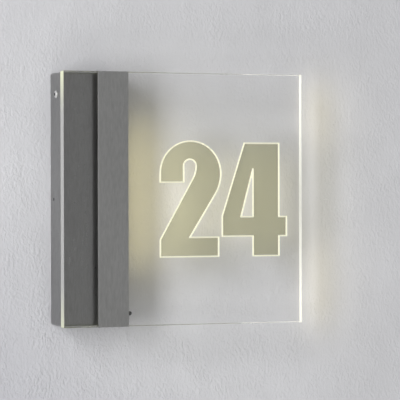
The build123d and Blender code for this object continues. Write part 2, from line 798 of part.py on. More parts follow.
with BuildPart() as terminal_clamps:
    with BuildSketch(Plane.XY.offset(terminal_height - clamp_length / 2)):
        with Locations((terminal_x, -terminal_axis)):
            with GridLocations(pole_pitch, 0, pole_count, 1):
                Circle(clamp_diameter / 2)
                Circle(clamp_bore / 2, mode=Mode.SUBTRACT)
    extrude(amount=clamp_length)
    with BuildSketch(Plane.XZ.offset(terminal_screw_back)):
        with Locations((terminal_x, terminal_height)):
            with GridLocations(pole_pitch, terminal_tower_spacing, pole_count, 2):
                Circle(terminal_screw_diameter / 2 + thread_clearance)
    extrude(amount=terminal_screw_length, mode=Mode.SUBTRACT)
terminal_clamps.part.label = "terminal_clamps"
export_step(terminal_clamps.part, "parts/terminal_clamps.step")

with BuildPart() as terminal_screws:
    with BuildSketch(Plane.XZ.offset(terminal_screw_back)):
        with Locations((terminal_x, terminal_height)):
            with GridLocations(pole_pitch, terminal_tower_spacing, pole_count, 2):
                Circle(terminal_screw_diameter / 2)
    extrude(amount=terminal_screw_length)
    with BuildSketch(Plane.XZ.offset(terminal_screw_back)):
        with Locations((terminal_x, terminal_height)):
            with GridLocations(pole_pitch, terminal_tower_spacing, pole_count, 2):
                Rectangle(terminal_screw_diameter, terminal_screw_slot)
    extrude(amount=terminal_screw_slot, mode=Mode.SUBTRACT)
terminal_screws.part.label = "terminal_screws"
export_step(terminal_screws.part, "parts/terminal_screws.step")

# ---------------------------------------------------------------- weld studs, their nuts, earth lug
with BuildPart() as weld_studs:
    for stud_x, stud_height, held in weld_studs_at:
        stud_length = held + m3_nut_height + weld_stud_tail
        with BuildSketch(Plane.XZ.offset(inner_front - stud_length)):
            with Locations((stud_x, stud_height)):
                Circle(weld_stud_diameter / 2)
        extrude(amount=stud_length)
weld_studs.part.label = "weld_studs"
export_step(weld_studs.part, "parts/weld_studs.step")

with BuildPart() as stud_lock_nuts:
    for stud_x, stud_height, held in weld_studs_at:
        with BuildSketch(Plane.XZ.offset(inner_front - held - m3_nut_height)):
            with Locations((stud_x, stud_height)):
                RegularPolygon(m3_nut_flats / 2, 6, major_radius=False)
                Circle(weld_stud_diameter / 2 + thread_clearance, mode=Mode.SUBTRACT)
        extrude(amount=m3_nut_height)
stud_lock_nuts.part.label = "stud_lock_nuts"
export_step(stud_lock_nuts.part, "parts/stud_lock_nuts.step")

lug_barrel_top = lug_height - lug_ring_diameter / 2 - lug_neck_length
lug_barrel_bottom = lug_barrel_top - lug_barrel_length
lug_barrel_axis = inner_front - lug_barrel_diameter / 2 - lug_lift
lug_neck_end = lug_barrel_top - lug_neck_overlap

with BuildPart() as earth_lug:
    with BuildSketch(Plane.XZ.offset(inner_front - lug_thickness)):
        with Locations((lug_x, lug_height)):
            Circle(lug_ring_diameter / 2)
        with Locations((lug_x, (lug_height + lug_neck_end) / 2)):
            Rectangle(lug_neck_width, lug_height - lug_neck_end)
        with Locations((lug_x, lug_height)):
            Circle(weld_stud_hole / 2, mode=Mode.SUBTRACT)
    extrude(amount=lug_thickness)
    with BuildSketch(Plane.XY.offset(lug_barrel_bottom)):
        with Locations((lug_x, -lug_barrel_axis)):
            Circle(lug_barrel_diameter / 2)
    extrude(amount=lug_barrel_length)
earth_lug.part.label = "earth_lug"
export_step(earth_lug.part, "parts/earth_lug.step")

# ---------------------------------------------------------------- fixing screws and square nuts
screw_seats = [
    Location((-housing_width / 2, -screw_depth, screw_height), (0, -90, 0)),
    Location((housing_width / 2, -screw_depth, screw_height), (0, 90, 0)),
    Location((0, -screw_depth, -housing_height / 2), (180, 0, 0)),
]

with BuildPart() as button_screw:
    with BuildSketch():
        Circle(screw_diameter / 2)
    extrude(amount=-screw_length)
    with BuildSketch(Plane.XZ):
        with BuildLine():
            Polyline((0, screw_head_height), (0, 0), (screw_head_diameter / 2, 0))
            ThreePointArc(
                (screw_head_diameter / 2, 0),
                ((screw_head_diameter + screw_head_crown) / 4 + screw_head_bulge, screw_head_bulge_height),
                (screw_head_crown / 2, screw_head_height),
            )
            Line((screw_head_crown / 2, screw_head_height), (0, screw_head_height))
        make_face()
    revolve(axis=Axis.Z)
    with BuildSketch(Plane.XY.offset(screw_head_height)):
        RegularPolygon(screw_socket_flats / 2, 6, major_radius=False)
    extrude(amount=-screw_socket_depth, mode=Mode.SUBTRACT)

with BuildPart() as fixing_screws:
    with Locations(*screw_seats):
        add(button_screw.part)
fixing_screws.part.label = "fixing_screws"
export_step(fixing_screws.part, "parts/fixing_screws.step")

nut_seat = housing_wall + ear_clearance + bracket_sheet + square_nut_gap

with BuildPart() as square_nut:
    with BuildSketch(Plane.XY.offset(-nut_seat)):
        Rectangle(square_nut_side, square_nut_side)
        Circle(screw_diameter / 2 + thread_clearance, mode=Mode.SUBTRACT)
    extrude(amount=-square_nut_height)

with BuildPart() as fixing_nuts:
    with Locations(*screw_seats):
        add(square_nut.part)
fixing_nuts.part.label = "fixing_nuts"
export_step(fixing_nuts.part, "parts/fixing_nuts.step")

# ---------------------------------------------------------------- dusk sensor
sensor_seat = Plane(
    origin=(housing_right, -sensor_depth, sensor_height),
    x_dir=(0, 1, 0),
    z_dir=(1, 0, 0),
)

with BuildPart() as sensor_holder:
    with BuildSketch(sensor_seat):
        Circle(sensor_collar_diameter / 2)
    extrude(amount=sensor_collar_height, taper=sensor_collar_taper)
    with BuildSketch(sensor_seat):
        Circle(sensor_thread_diameter / 2)
    extrude(amount=-(housing_wall + sensor_thread_length))
    with BuildSketch(sensor_seat):
        Circle(sensor_eye_diameter / 2 + thread_clearance)
    extrude(amount=sensor_collar_height, mode=Mode.SUBTRACT)
    with BuildSketch(sensor_seat):
        Circle(sensor_eye_diameter / 2 + thread_clearance)
    extrude(amount=-(housing_wall + sensor_thread_length / 2), mode=Mode.SUBTRACT)
sensor_holder.part.label = "sensor_holder"
export_step(sensor_holder.part, "parts/sensor_holder.step")

with BuildPart() as sensor_eye:
    with BuildSketch(sensor_seat.offset(-(housing_wall + sensor_thread_length / 2))):
        Circle(sensor_eye_diameter / 2)
    extrude(amount=housing_wall + sensor_thread_length / 2 + sensor_eye_reach)
    tip = sensor_eye.edges().filter_by(GeomType.CIRCLE).sort_by(Axis.X)[-1]
    fillet(tip, radius=sensor_eye_round)
sensor_eye.part.label = "sensor_eye"
export_step(sensor_eye.part, "parts/sensor_eye.step")

with BuildPart() as sensor_nut:
    with BuildSketch(sensor_seat.offset(-housing_wall)):
        RegularPolygon(sensor_nut_flats / 2, 6, major_radius=False)
        Circle(sensor_thread_diameter / 2 + thread_clearance, mode=Mode.SUBTRACT)
    extrude(amount=-sensor_nut_height)
sensor_nut.part.label = "sensor_nut"
export_step(sensor_nut.part, "parts/sensor_nut.step")

# ---------------------------------------------------------------- leads, held between two housings
def lead_points(start, leave, enter, end, waypoints):
    """Corner points of a lead: straight out of one piece, past the waypoints, straight into the other.
    A waypoint is its share of the way from leave to enter, its sway across, its depth behind the
    front sheet and its sag along the housing."""
    corners = [start, leave]
    for share, sway, behind, sag in waypoints:
        across = leave[0] + share * (enter[0] - leave[0]) + sway
        along = leave[2] + share * (enter[2] - leave[2]) + sag
        corners.append((across, behind - inner_front, along))
    return corners + [enter, end]


live_x = terminal_x - pole_pitch
earth_x = terminal_x + pole_pitch
clamp_foot = terminal_height - clamp_length / 2
mains_leave = clamp_foot - mains_lead_run
mains_enter = driver_top + mains_lead_run
live_entry = driver_x + live_entry_offset
neutral_entry = driver_x + neutral_entry_offset

board_face = chip_left + light_lead_diameter / 2 + lead_lift
pad_y = -panel_back - light_lead_foot
drop_y = light_lead_drop - inner_front
positive_pad = positive_pad_margin - board_length / 2
negative_pad = negative_pad_margin - board_length / 2
positive_entry = (driver_x + positive_entry_offset, positive_entry_behind - inner_front)
negative_entry = (driver_x + negative_entry_offset, negative_entry_behind - inner_front)

sensor_end = housing_right - housing_wall - sensor_thread_length
signal_pin = sensor_height + sensor_pin_pitch / 2
return_pin = sensor_height - sensor_pin_pitch / 2
signal_entry = (driver_x + signal_entry_offset, sensor_entry_behind - inner_front)
return_entry = (driver_x + return_entry_offset, sensor_entry_behind - inner_front)

live_route = lead_points(
    start=(live_x, -terminal_axis, clamp_foot),
    leave=(live_x, -terminal_axis, mains_leave),
    enter=(live_entry, -terminal_axis, mains_enter),
    end=(live_entry, -terminal_axis, driver_top),
    waypoints=[(0.5, -1.5, terminal_axis_height, 0.0)],
)
neutral_route = lead_points(
    start=(terminal_x, -terminal_axis, clamp_foot),
    leave=(terminal_x, -terminal_axis, mains_leave),
    enter=(neutral_entry, -terminal_axis, mains_enter),
    end=(neutral_entry, -terminal_axis, driver_top),
    waypoints=[],
)
earth_route = lead_points(
    start=(earth_x, -terminal_axis, clamp_foot),
    leave=(earth_x, -terminal_axis, mains_leave),
    enter=(lug_x, -lug_barrel_axis, lug_barrel_bottom - mains_lead_run),
    end=(lug_x, -lug_barrel_axis, lug_barrel_bottom),
    waypoints=[(0.3, 0.0, 3.4, -4.9), (0.7, 0.0, 2.6, -4.9)],
)
positive_route = lead_points(
    start=(board_face, pad_y, positive_pad),
    leave=(board_face, drop_y, positive_pad),
    enter=(*positive_entry, driver_bottom - positive_entry_run),
    end=(*positive_entry, driver_bottom),
    waypoints=[(0.24, 0.0, 6.7, -0.6), (0.57, 0.0, 7.5, -0.4)],
)
negative_route = lead_points(
    start=(board_face, pad_y, negative_pad),
    leave=(board_face, drop_y, negative_pad),
    enter=(*negative_entry, driver_bottom - negative_entry_run),
    end=(*negative_entry, driver_bottom),
    waypoints=[(0.18, 0.0, 8.3, -1.0), (0.48, 0.0, 9.9, -2.0), (0.78, 0.0, 9.3, -2.4)],
)
signal_route = lead_points(
    start=(sensor_end, -sensor_depth, signal_pin),
    leave=(sensor_end - signal_exit_run, -sensor_depth, signal_pin),
    enter=(*signal_entry, driver_bottom - signal_entry_run),
    end=(*signal_entry, driver_bottom),
    waypoints=[(0.26, 0.0, 9.1, -2.8), (0.54, 0.0, 10.5, -3.9), (0.79, 0.0, 10.5, -3.5)],
)
return_route = lead_points(
    start=(sensor_end, -sensor_depth, return_pin),
    leave=(sensor_end - return_exit_run, -sensor_depth, return_pin),
    enter=(*return_entry, driver_bottom - return_entry_run),
    end=(*return_entry, driver_bottom),
    waypoints=[(0.26, 0.0, 8.9, -4.0), (0.54, 0.0, 10.5, -6.0), (0.8, 0.0, 10.5, -5.5)],
)
lead_routes = {
    "live_lead": (mains_lead_diameter, live_route),
    "neutral_lead": (mains_lead_diameter, neutral_route),
    "earth_lead": (mains_lead_diameter, earth_route),
    "light_lead_positive": (light_lead_diameter, positive_route),
    "light_lead_negative": (light_lead_diameter, negative_route),
    "sensor_lead_signal": (sensor_lead_diameter, signal_route),
    "sensor_lead_return": (sensor_lead_diameter, return_route),
}

for lead_name, (lead_diameter, route) in lead_routes.items():
    with BuildPart() as lead:
        with BuildLine() as lead_line:
            lead_path(route)
        path = lead_line.wires()[0]
        with BuildSketch(Plane(origin=path @ 0, z_dir=path % 0)):
            Circle(lead_diameter / 2)
        sweep(path=path)
    expected = path.length * math.pi * lead_diameter**2 / 4
    print(f"{lead_name}: length {path.length:.1f}, volume {lead.part.volume:.1f} of {expected:.1f}")
    lead.part.label = lead_name
    export_step(lead.part, f"parts/{lead_name}.step")
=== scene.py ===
"""Looks of the illuminated house number sign: an edge-lit clear panel on a brushed steel wall housing.

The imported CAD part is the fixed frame. This script gives every piece its finish, rebuilds the clear panel
with separate surfaces for its polished faces, its sawn edges and its milled lines, turns the screws, studs
and nuts with their threads, and sets up the plaster wall, the daylight and the camera.
Frame: +X along the wall to the right, +Y into the wall, +Z up, metres.
"""
from __future__ import annotations

import json
import logging
import math
from collections.abc import Callable, Sequence
from dataclasses import dataclass
from enum import Enum

import bpy
import numpy as np
from mathutils import Matrix, Vector

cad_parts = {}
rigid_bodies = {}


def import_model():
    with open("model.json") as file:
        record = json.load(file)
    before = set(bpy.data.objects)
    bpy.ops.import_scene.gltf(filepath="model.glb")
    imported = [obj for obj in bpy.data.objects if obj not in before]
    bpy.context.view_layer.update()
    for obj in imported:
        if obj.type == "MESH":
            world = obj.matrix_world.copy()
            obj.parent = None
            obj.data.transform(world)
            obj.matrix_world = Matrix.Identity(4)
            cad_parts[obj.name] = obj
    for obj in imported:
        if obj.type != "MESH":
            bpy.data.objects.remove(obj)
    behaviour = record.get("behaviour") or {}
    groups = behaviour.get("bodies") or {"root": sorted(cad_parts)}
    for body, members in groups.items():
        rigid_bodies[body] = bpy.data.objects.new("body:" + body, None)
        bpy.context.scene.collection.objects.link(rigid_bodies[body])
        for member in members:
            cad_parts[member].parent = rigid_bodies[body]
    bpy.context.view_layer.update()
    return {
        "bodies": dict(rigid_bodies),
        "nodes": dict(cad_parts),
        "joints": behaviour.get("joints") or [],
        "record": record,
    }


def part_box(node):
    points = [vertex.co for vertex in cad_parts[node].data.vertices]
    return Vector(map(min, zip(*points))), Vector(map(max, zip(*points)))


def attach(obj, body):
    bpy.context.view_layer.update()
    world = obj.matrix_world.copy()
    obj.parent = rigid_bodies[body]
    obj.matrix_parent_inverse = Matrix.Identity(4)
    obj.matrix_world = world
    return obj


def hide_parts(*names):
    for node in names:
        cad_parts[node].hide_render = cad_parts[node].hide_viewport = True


log = logging.getLogger("house_number_sign")

MM = 0.001
FULL_TURN = 2 * math.pi
SHARP_ANGLE = math.radians(32)
ACRYLIC_IOR = 1.49
PLASTIC_IOR = 1.5
PVC_IOR = 1.53

# A Shape is points in metres, triangles as rows of point numbers, and each triangle's material slot.
Array = np.ndarray
Shape = tuple[Array, Array, Array]
Triple = tuple[float, float, float]
Pair = tuple[float, float]
Socket = bpy.types.NodeSocket
Material = bpy.types.Material
Piece = bpy.types.Object

# The kinds of node that most finishes use, and the numbers of the blend node's sockets.
MATHS, RANGE, BLEND, SPLIT = "ShaderNodeMath", "ShaderNodeMapRange", "ShaderNodeMix", "ShaderNodeSeparateXYZ"
FACTOR, VALUE_A, VALUE_B, COLOUR_A, COLOUR_B = 0, 2, 3, 6, 7
BLENDED_COLOUR = 2
# Random grain seldom leaves this part of its range from 0 to 1.
MOST: Pair = (0.3, 0.7)

# Names of the clear panel's own mesh attributes.
UPRIGHT_EDGE = "upright_edge"
FACING_LIGHT = "facing_light"


# ---------------------------------------------------------------- colour and node helpers
def linear(colour: str) -> tuple[float, float, float, float]:
    """Turns an sRGB hex value into linear light.

    Args:
        colour: Six hex digits, such as "c8c8c4".

    Returns:
        Linear red, green and blue, and an alpha of 1.
    """
    parts = [int(colour[i:i + 2], 16) / 255 for i in (0, 2, 4)]
    red, green, blue = (p / 12.92 if p <= 0.04045 else ((p + 0.055) / 1.055) ** 2.4 for p in parts)
    return red, green, blue, 1.0


class Nodes:
    """The node tree of a material or a world, under construction."""

    def __init__(self, owner: Material | bpy.types.World, output: str) -> None:
        """Empties the owner's node tree and adds its output node.

        Args:
            owner: The material or world.
            output: The output node's type.
        """
        owner.use_nodes = True
        self.tree = owner.node_tree
        self.tree.nodes.clear()
        self.surface = self.tree.nodes.new(output).inputs["Surface"]

    def add(self, kind: str, inputs: Sequence | dict = (), output: int | str = 0,
            **settings: object) -> Socket:
        """Adds one node with its settings and the values and links of its inputs.

        Args:
            kind: The node's type, such as "ShaderNodeTexNoise".
            inputs: Values of its first inputs in order, or of inputs by name or number. A socket is linked.
            output: Name or number of the output to return.
            settings: Values of the node's own properties.

        Returns:
            That output.
        """
        node = self.tree.nodes.new(kind)
        for name, value in settings.items():
            setattr(node, name, value)
        for name, value in inputs.items() if isinstance(inputs, dict) else enumerate(inputs):
            self.supply(node.inputs[name], value)
        return node.outputs[output]

    def supply(self, entry: Socket, value: object) -> None:
        """Links a socket into an input, or sets the input to a plain value.

        Args:
            entry: The input.
            value: The socket or the plain value.
        """
        if isinstance(value, Socket):
            self.tree.links.new(value, entry)
        else:
            entry.default_value = value


class Surface(Nodes):
    """A material under construction: its Principled shader and its patterns."""

    def __init__(self, name: str) -> None:
        """Starts a material with a plain shader.

        Args:
            name: The material's name.
        """
        self.material = bpy.data.materials.new(name)
        super().__init__(self.material, "ShaderNodeOutputMaterial")
        self.finish = self.add("ShaderNodeBsdfPrincipled")
        self.supply(self.surface, self.finish)
        self.place = self.add("ShaderNodeTexCoord", output="Object")

    def give(self, **values: object) -> None:
        """Sets or links the shader's own inputs, with _ for a space in their names."""
        for name, value in values.items():
            self.supply(self.finish.node.inputs[name.replace("_", " ")], value)

    def counted_in(self, size_mm: Triple) -> Socket:
        """The object coordinates, counted in a real size along X, Y and Z instead of in metres."""
        scale = [1 / (size * MM) for size in size_mm]
        return self.add("ShaderNodeMapping", {"Vector": self.place, "Scale": scale})

    def grain(self, size_mm: Triple, detail: float = 4.0, rough: float = 0.55, warp: float = 0.0) -> Socket:
        """Random grain of a real size.

        Args:
            size_mm: Size of one grain along X, Y and Z in millimetres.
            detail: Octaves of finer grain.
            rough: Strength of each finer octave.
            warp: How far the grains are bent out of shape.

        Returns:
            A value from 0 to 1 about 0.5.
        """
        inputs = {"Vector": self.counted_in(size_mm), "Scale": 1.0, "Detail": detail}
        return self.add("ShaderNodeTexNoise", {**inputs, "Roughness": rough, "Distortion": warp})

    def two_tone(self, pattern: Socket, first: str | Socket, second: str, start: float = MOST[0],
                 end: float = MOST[1]) -> Socket:
        """Colours a pattern.

        Args:
            pattern: A value all over the surface.
            first: Colour at start and before it, as sRGB hex or a socket.
            second: Hex colour at end and past it.
            start: Value of the pattern where the first colour ends.
            end: Value of the pattern where the second colour begins.

        Returns:
            The colour.
        """
        share = self.add(RANGE, [pattern, start, end, 0.0, 1.0])
        colours = {COLOUR_A: linear(first) if isinstance(first, str) else first, COLOUR_B: linear(second)}
        return self.add(BLEND, {FACTOR: share, **colours}, BLENDED_COLOUR, data_type="RGBA")

    def relief(self, height: Socket, depth_mm: float) -> None:
        """Bends the shader's normal by a height pattern, of which 1 is depth_mm high."""
        inputs = {"Height": height, "Distance": depth_mm * MM, "Strength": 1.0}
        self.give(Normal=self.add("ShaderNodeBump", inputs))

    def roughen(self, pattern: Socket, limits: Pair, within: Pair = MOST) -> None:
        """Varies the roughness from one limit to the other as a pattern crosses a part of its range."""
        self.give(Roughness=self.add(RANGE, [pattern, *within, *limits]))

    def show_clear(self, share: Socket | float, colour: str = "ffffff") -> None:
        """Shows what is behind, tinted with a hex colour, for a share of the rays from 0 to 1."""
        clear = self.add("ShaderNodeBsdfTransparent", [linear(colour)])
        self.supply(self.surface, self.add("ShaderNodeMixShader", [share, self.finish, clear]))


# ---------------------------------------------------------------- finishes
@dataclass(frozen=True)
class BrushedSteel:
    """Stainless steel sheet brushed upwards with a belt: long fine lines and a soft satin gloss.

    cut_sides holds the places along X of a plate's two laser-cut sides. They are coloured darker than its
    faces, partly for the cut's own oxide and partly as painted shade on the narrow sides.
    """

    name: str
    colour: str
    worn: str
    roughness: Pair
    cut: str = "9e9e9d"
    cut_sides: Pair | None = None
    cut_from: float = 0.15 * MM
    cut_full: float = 0.05 * MM
    # A belt's lines are under 0.1 mm wide. They are drawn this coarse so that they show at 1 mm a pixel.
    line_mm: Triple = (1.5, 1.5, 8.0)
    line_depth_mm: float = 0.006
    line_share: float = 0.7
    mark_mm: Triple = (38.0, 38.0, 90.0)

    def build(self) -> Material:
        """Belt lines are grain stretched along the brushing; handling marks are broad soft grain.

        Returns:
            The material.
        """
        surface = Surface(self.name)
        lines = surface.grain(self.line_mm, detail=3.0, rough=0.6)
        marks = surface.grain(self.mark_mm, detail=2.0)
        shade = surface.add(BLEND, {FACTOR: self.line_share, VALUE_A: marks, VALUE_B: lines})
        colour = surface.two_tone(shade, self.colour, self.worn)
        # The cut sides' darker colour is partly oxide of the cut and partly painted shade.
        if self.cut_sides:
            low, high = self.cut_sides
            half = (high - low) / 2
            across = surface.add(SPLIT, [surface.place], "X")
            offset = surface.add(MATHS, [across, (low + high) / 2], operation="SUBTRACT")
            away = surface.add(MATHS, [offset], operation="ABSOLUTE")
            colour = surface.two_tone(away, colour, self.cut, half - self.cut_from, half - self.cut_full)
        surface.give(Base_Color=colour, Metallic=1.0)
        surface.roughen(shade, self.roughness)
        surface.relief(lines, self.line_depth_mm)
        return surface.material


@dataclass(frozen=True)
class GalvanisedSheet:
    """Hot-dip zinc on steel sheet: a mosaic of pale crystals, some bright and some matt."""

    name: str = "galvanised_steel_sheet"
    dark: str = "9a9fa1"
    pale: str = "b9bec0"
    roughness: Pair = (0.34, 0.56)
    crystal_mm: float = 5.0
    grain_mm: Triple = (0.6, 0.6, 0.6)
    grain_depth_mm: float = 0.01

    def build(self) -> Material:
        """Crystals are Voronoi cells, each with its own shade and gloss.

        Returns:
            The material.
        """
        surface = Surface(self.name)
        place = surface.counted_in((self.crystal_mm,) * 3)
        cells = surface.add("ShaderNodeTexVoronoi", {"Vector": place, "Scale": 1.0}, "Color")
        shade, gloss, _ = surface.add("ShaderNodeSeparateColor", [cells]).node.outputs
        surface.give(Base_Color=surface.two_tone(shade, self.dark, self.pale, 0.0, 1.0), Metallic=1.0)
        surface.roughen(gloss, self.roughness, (0.0, 1.0))
        surface.relief(surface.grain(self.grain_mm), self.grain_depth_mm)
        return surface.material


@dataclass(frozen=True)
class MachinedMetal:
    """Turned, pressed or extruded metal of small parts: fine tool marks and slight tarnish."""

    name: str
    colour: str
    tarnish: str
    roughness: Pair = (0.22, 0.4)
    grain_mm: Triple = (0.4, 0.4, 0.4)
    grain_depth_mm: float = 0.006
    stain_mm: Triple = (4.0, 4.0, 4.0)

    def build(self) -> Material:
        """Tool marks and tarnish are two sizes of grain.

        Returns:
            The material.
        """
        surface = Surface(self.name)
        marks = surface.grain(self.grain_mm, detail=5.0)
        stains = surface.grain(self.stain_mm, detail=3.0)
        surface.give(Base_Color=surface.two_tone(stains, self.colour, self.tarnish), Metallic=1.0)
        surface.roughen(marks, self.roughness)
        surface.relief(marks, self.grain_depth_mm)
        return surface.material


@dataclass(frozen=True)
class MouldedPlastic:
    """Injection-moulded plastic or rubber: spark-eroded grain, faint flow marks, an even soft gloss."""

    name: str
    colour: str
    flow: str
    roughness: Pair = (0.42, 0.58)
    grain_mm: float = 0.45
    grain_depth_mm: float = 0.012
    flow_mm: Triple = (9.0, 9.0, 22.0)
    see_through: float = 0.0

    def build(self) -> Material:
        """Grain is fine, and flow marks are long soft grain along the piece.

        Returns:
            The material.
        """
        surface = Surface(self.name)
        grain = surface.grain((self.grain_mm,) * 3, detail=3.0)
        flow = surface.grain(self.flow_mm, detail=2.0, warp=0.6)
        surface.give(Base_Color=surface.two_tone(flow, self.colour, self.flow), IOR=PLASTIC_IOR)
        surface.give(Transmission_Weight=self.see_through)
        surface.roughen(grain, self.roughness)
        surface.relief(grain, self.grain_depth_mm)
        return surface.material


@dataclass(frozen=True)
class ClearAcrylic:
    """Cast acrylic sheet with polished faces: water-clear, with a trace of casting ripple and wiping haze."""

    name: str = "cast_clear_acrylic"
    colour: str = "fcfcfc"
    lamps_pass: str = "fbfbfb"
    roughness: Pair = (0.0, 0.035)
    haze_mm: Triple = (14.0, 14.0, 30.0)
    ripple_mm: Triple = (40.0, 40.0, 40.0)
    ripple_depth_mm: float = 0.02

    def build(self) -> Material:
        """Ripple is broad shallow grain, and haze a low uneven roughness. Lamps shine straight through.

        Returns:
            The material.
        """
        surface = Surface(self.name)
        haze = surface.grain(self.haze_mm, detail=4.0, warp=0.8)
        surface.give(Base_Color=linear(self.colour), IOR=ACRYLIC_IOR, Transmission_Weight=1.0)
        surface.roughen(haze, self.roughness)
        surface.relief(surface.grain(self.ripple_mm, detail=1.0), self.ripple_depth_mm)
        surface.show_clear(surface.add("ShaderNodeLightPath", output="Is Shadow Ray"), self.lamps_pass)
        return surface.material


@dataclass(frozen=True)
class SawnAcrylicEdge:
    """Sawn and scraped edge of acrylic sheet: matt, lined across, and glowing where the light comes out."""

    right: float
    name: str = "sawn_acrylic_edge"
    colour: str = "a4a4a2"
    # The right edge's material runs from this far to this far short of the panel's right side.
    right_from: Pair = (0.012, 0.002)
    far_glow: str = "fffff0"
    far_level: Pair = (0.40, 0.72)
    far_height: Pair = (0.010, 0.095)
    near_glow: str = "f5ffa6"
    near_level: Pair = (0.22, 0.36)
    near_height: Pair = (0.080, 0.123)
    near_power: float = 1.3
    panel_height: Pair = (-0.1, 0.1)
    flat_level: float = 0.14
    roughness: Pair = (0.42, 0.62)
    line_mm: Triple = (0.35, 9.0, 0.35)
    line_depth_mm: float = 0.02

    def build(self) -> Material:
        """The right edge glows all along and more towards its ends, the left one only where light gets
        round the ends of the slot, and the top and bottom edges hardly at all.

        Returns:
            The material.
        """
        surface = Surface(self.name)
        lines = surface.grain(self.line_mm, detail=4.0)
        across, _, up = surface.add(SPLIT, [surface.place]).node.outputs
        height = surface.add(MATHS, [up], operation="ABSOLUTE")
        right = surface.add(RANGE, [across, *(self.right - gap for gap in self.right_from), 0.0, 1.0])
        far = surface.add(RANGE, [height, *self.far_height, *self.far_level])
        to_ends = surface.add(RANGE, [height, *self.near_height, 0.0, 1.0])
        tips = surface.add(MATHS, [to_ends, self.near_power], operation="POWER")
        upper = surface.add(RANGE, [up, *self.panel_height, *self.near_level])
        near = surface.add(MATHS, [tips, upper], operation="MULTIPLY")
        side = surface.add(BLEND, {FACTOR: right, VALUE_A: near, VALUE_B: far})
        upright = surface.add("ShaderNodeAttribute", output="Fac", attribute_name=UPRIGHT_EDGE)
        level = surface.add(BLEND, {FACTOR: upright, VALUE_A: self.flat_level, VALUE_B: side})
        glow = surface.two_tone(right, self.near_glow, self.far_glow, 0.0, 1.0)
        surface.give(Base_Color=linear(self.colour), IOR=ACRYLIC_IOR)
        surface.give(Emission_Color=glow, Emission_Strength=level)
        surface.roughen(lines, self.roughness)
        surface.relief(lines, self.line_depth_mm)
        return surface.material


@dataclass(frozen=True)
class MilledAcrylic:
    """Line milled into the sheet's back: frosted by the cutter, so it scatters the edge light and glows."""

    name: str = "milled_frosted_acrylic"
    colour: str = "cfcfc2"
    glow: str = "fffbd6"
    lit_x: Pair = (0.060, 0.205)
    level: Pair = (0.55, 0.48)
    along_light: float = 0.55
    uneven: Pair = (0.85, 1.15)
    roughness: Pair = (0.5, 0.75)
    mark_mm: Triple = (0.3, 0.3, 0.3)
    mark_depth_mm: float = 0.02

    def build(self) -> Material:
        """Lines across the light's path glow fully and lines along it less; the glow fades to the right.

        Returns:
            The material.
        """
        surface = Surface(self.name)
        marks = surface.grain(self.mark_mm, detail=3.0)
        across = surface.add(SPLIT, [surface.place], "X")
        fade = surface.add(RANGE, [across, *self.lit_x, *self.level])
        facing = surface.add("ShaderNodeAttribute", output="Fac", attribute_name=FACING_LIGHT)
        caught = surface.add(RANGE, [facing, 0.0, 1.0, self.along_light, 1.0])
        glow = surface.add(MATHS, [fade, caught], operation="MULTIPLY")
        uneven = surface.add(RANGE, [marks, *MOST, *self.uneven])
        surface.give(Base_Color=linear(self.colour), IOR=ACRYLIC_IOR, Emission_Color=linear(self.glow))
        surface.give(Emission_Strength=surface.add(MATHS, [glow, uneven], operation="MULTIPLY"))
        surface.roughen(marks, self.roughness)
        surface.relief(marks, self.mark_depth_mm)
        return surface.material


@dataclass(frozen=True)
class TintedFilm:
    """Translucent cast vinyl film: it dims and warms what is behind it and glows where light reaches it."""

    name: str = "tinted_cast_vinyl"
    colour: str = "bebdb1"
    clear: str = "e4e3cc"
    see_through: float = 0.66
    glow: str = "fff7d6"
    near_level: float = 0.25
    lit_x: Pair = (0.066, 0.138)
    roughness: Pair = (0.4, 0.6)
    pebble_mm: Triple = (0.8, 0.8, 0.8)
    pebble_depth_mm: float = 0.01

    def build(self) -> Material:
        """The glow fades with the distance from the lights, and a fine pebble breaks the gloss.

        Returns:
            The material.
        """
        surface = Surface(self.name)
        across = surface.add(SPLIT, [surface.place], "X")
        pebble = surface.grain(self.pebble_mm, detail=3.0)
        surface.give(Base_Color=linear(self.colour), Emission_Color=linear(self.glow))
        surface.give(Emission_Strength=surface.add(RANGE, [across, *self.lit_x, self.near_level, 0.0]))
        surface.roughen(pebble, self.roughness)
        surface.relief(pebble, self.pebble_depth_mm)
        surface.show_clear(self.see_through, self.clear)
        return surface.material


@dataclass(frozen=True)
class PrintedBoard:
    """Circuit board under solder mask: a smooth lacquer with copper tracks showing as raised paler lines."""

    name: str
    mask: str
    track: str
    cell_mm: float = 4.8
    cell_jitter: float = 0.7
    track_edge: Pair = (0.36, 0.42)
    track_depth_mm: float = 0.03
    roughness: Pair = (0.28, 0.42)
    lacquer_mm: Triple = (1.0, 1.0, 1.0)

    def build(self) -> Material:
        """Tracks are the thin edges between Voronoi cells measured along the grid.

        Returns:
            The material.
        """
        surface = Surface(self.name)
        inputs = {"Vector": surface.counted_in((self.cell_mm,) * 3), "Scale": 1.0}
        inputs["Randomness"] = self.cell_jitter
        cells = surface.add("ShaderNodeTexVoronoi", inputs, distance="CHEBYCHEV")
        tracks = surface.add(RANGE, [cells, *self.track_edge, 0.0, 1.0])
        surface.give(Base_Color=surface.two_tone(tracks, self.mask, self.track, 0.0, 1.0), IOR=PLASTIC_IOR)
        surface.roughen(surface.grain(self.lacquer_mm), self.roughness)
        surface.relief(tracks, self.track_depth_mm)
        return surface.material


@dataclass(frozen=True)
class LightPhosphor:
    """Phosphor over a light chip: matt yellow silicone, lit from inside."""

    name: str = "warm_white_phosphor"
    colour: str = "f3dd8c"
    glow: str = "fff0c2"
    level: Pair = (0.96, 1.2)
    grain_mm: Triple = (0.15, 0.15, 0.15)
    roughness: float = 0.5

    def build(self) -> Material:
        """Fine phosphor grains vary the colour and the light.

        Returns:
            The material.
        """
        surface = Surface(self.name)
        grains = surface.grain(self.grain_mm, detail=2.0)
        surface.give(Base_Color=surface.two_tone(grains, self.colour, self.glow))
        surface.give(Roughness=self.roughness, Emission_Color=linear(self.glow))
        surface.give(Emission_Strength=surface.add(RANGE, [grains, *MOST, *self.level]))
        return surface.material


